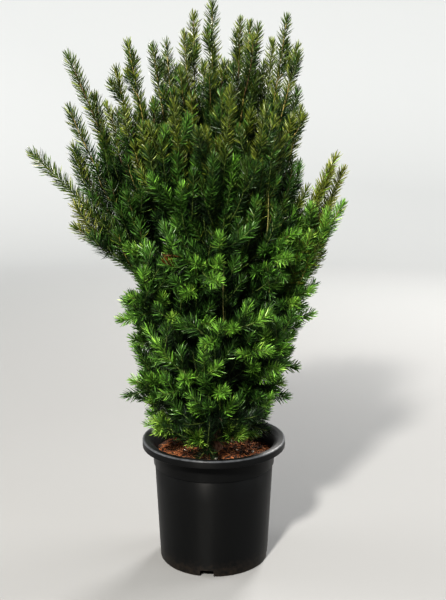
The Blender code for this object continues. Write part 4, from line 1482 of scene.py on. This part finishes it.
def make_twigs(shoots):
    """The shoots' own stems: woody ones, and green or yellow-brown young ones."""
    kinds = {"wood": [], "straw": [], "green": []}
    for number, (name, path, level, young) in enumerate(shoots):
        if level == 0 and young:
            kind = "wood"
        elif young or name.startswith("leader_front"):
            kind = "green"
        else:
            fine = level > 1 or name.endswith("_arm")
            dice = random.Random(TWIG_SEED + number)
            kind = dice.choices(("straw", "green", "wood"), FINE_TWIGS if fine else MAIN_TWIGS)[0]
        steps = max(3, round((path[2] - path[0]).length / TWIG_STEP))
        shares = np.arange(steps + 1) / steps
        thick = TWIG_RADII[level]
        radii = thick + (TWIG_TIP_RADIUS - thick) * shares**TWIG_TAPER
        sides = STEM_SIDES if level == 0 else TWIG_SIDES
        kinds[kind].append((name, tube(*on_curve(path, shares), radii, sides)))
    for kind, members in kinds.items():
        twig_piece(kind, members)


def make_bare_stems(masses):
    """Stems without needles, each from the nearest of the solids' own stems."""
    stems = [(name, curve_point(*main[0], BARE_FOOT)) for name, main, _, _ in masses]
    shares = np.linspace(0.0, 1.0, BARE_RINGS)
    taper = np.linspace(*BARE_TAPER, BARE_RINGS)
    members = []
    for low, high, radius in BARE_STEMS:
        bend = Vector(low)
        name, foot = min(stems, key=lambda row: (row[1] - bend).length)
        rows = on_curve((foot, bend, Vector(high)), shares)
        members.append((name, tube(*rows, taper * radius, STEM_SIDES)))
    twig_piece("bare", members)


# Bark


def bark_tube(name, places, radii, sides, relief, finish, slot, node):
    """A limb whose surface has plates and furrows."""
    points = np.array([tuple(place) for place in places])
    headings = unit(np.gradient(points, axis=0))
    vertices, faces = tube(points, headings, np.array(radii), sides)
    rough = []
    for number, vertex in enumerate(vertices):
        outward = Vector(vertex - points[number // sides]).normalized()
        grain = Vector((vertex[0] * BARK_GRAIN, vertex[1] * BARK_GRAIN, vertex[2] * BARK_LONG_GRAIN))
        height = noise.noise(grain) + CRACK_DEPTH * noise.noise(grain * CRACK_GRAIN)
        rough.append(Vector(vertex) + outward * relief * height)
    mesh = mesh_of(name, rough, faces)
    bm = bmesh.new()
    bm.from_mesh(mesh)
    bmesh.ops.holes_fill(bm, edges=[edge for edge in bm.edges if edge.is_boundary], sides=0)
    bm.to_mesh(mesh)
    bm.free()
    piece(name, mesh, finish, slot, node)


def make_limbs(boughs):
    finish = bark_material()
    foot = SOIL_TOP + GAP
    rise = TRUNK_TOP - foot
    heights = [foot + rise * number / TRUNK_RINGS for number in range(TRUNK_RINGS + 1)]
    places = [trunk_axis(height) for height in heights]
    radii = [trunk_radius(height) for height in heights]
    bark_tube("trunk_bark", places, radii, TRUNK_SIDES, TRUNK_RELIEF, finish, "bark", "trunk")
    shares = [number / BOUGH_RINGS for number in range(BOUGH_RINGS + 1)]
    radii = [BOUGH_FOOT_RADIUS * BOUGH_SWELL]
    radii += [BOUGH_FOOT_RADIUS + (BOUGH_TIP_RADIUS - BOUGH_FOOT_RADIUS) * share for share in shares]
    for name, path in boughs:
        points = [curve_point(*path, share) for share in shares]
        root = points[0].lerp(trunk_axis(points[0].z), BOUGH_ROOT)
        places = [root, *points]
        bark_tube(f"bark_{name}", places, radii, BOUGH_SIDES, BOUGH_RELIEF, finish, "bough", name)


def main():
    add_camera()
    add_world()
    bpy.context.scene.view_settings.view_transform = "Standard"
    bpy.context.scene.view_settings.look = "High Contrast"
    for row in LIGHTS:
        add_light(*row)
    add_floor()
    make_pot()
    make_soil(random.Random(SOIL_SEED))
    masses, boughs = plan_crown()
    make_limbs(boughs)
    shoots = grow(masses)
    print(len(shoots), "shoots")
    make_twigs(shoots)
    make_bare_stems(masses)
    make_needles(shoots)


main()
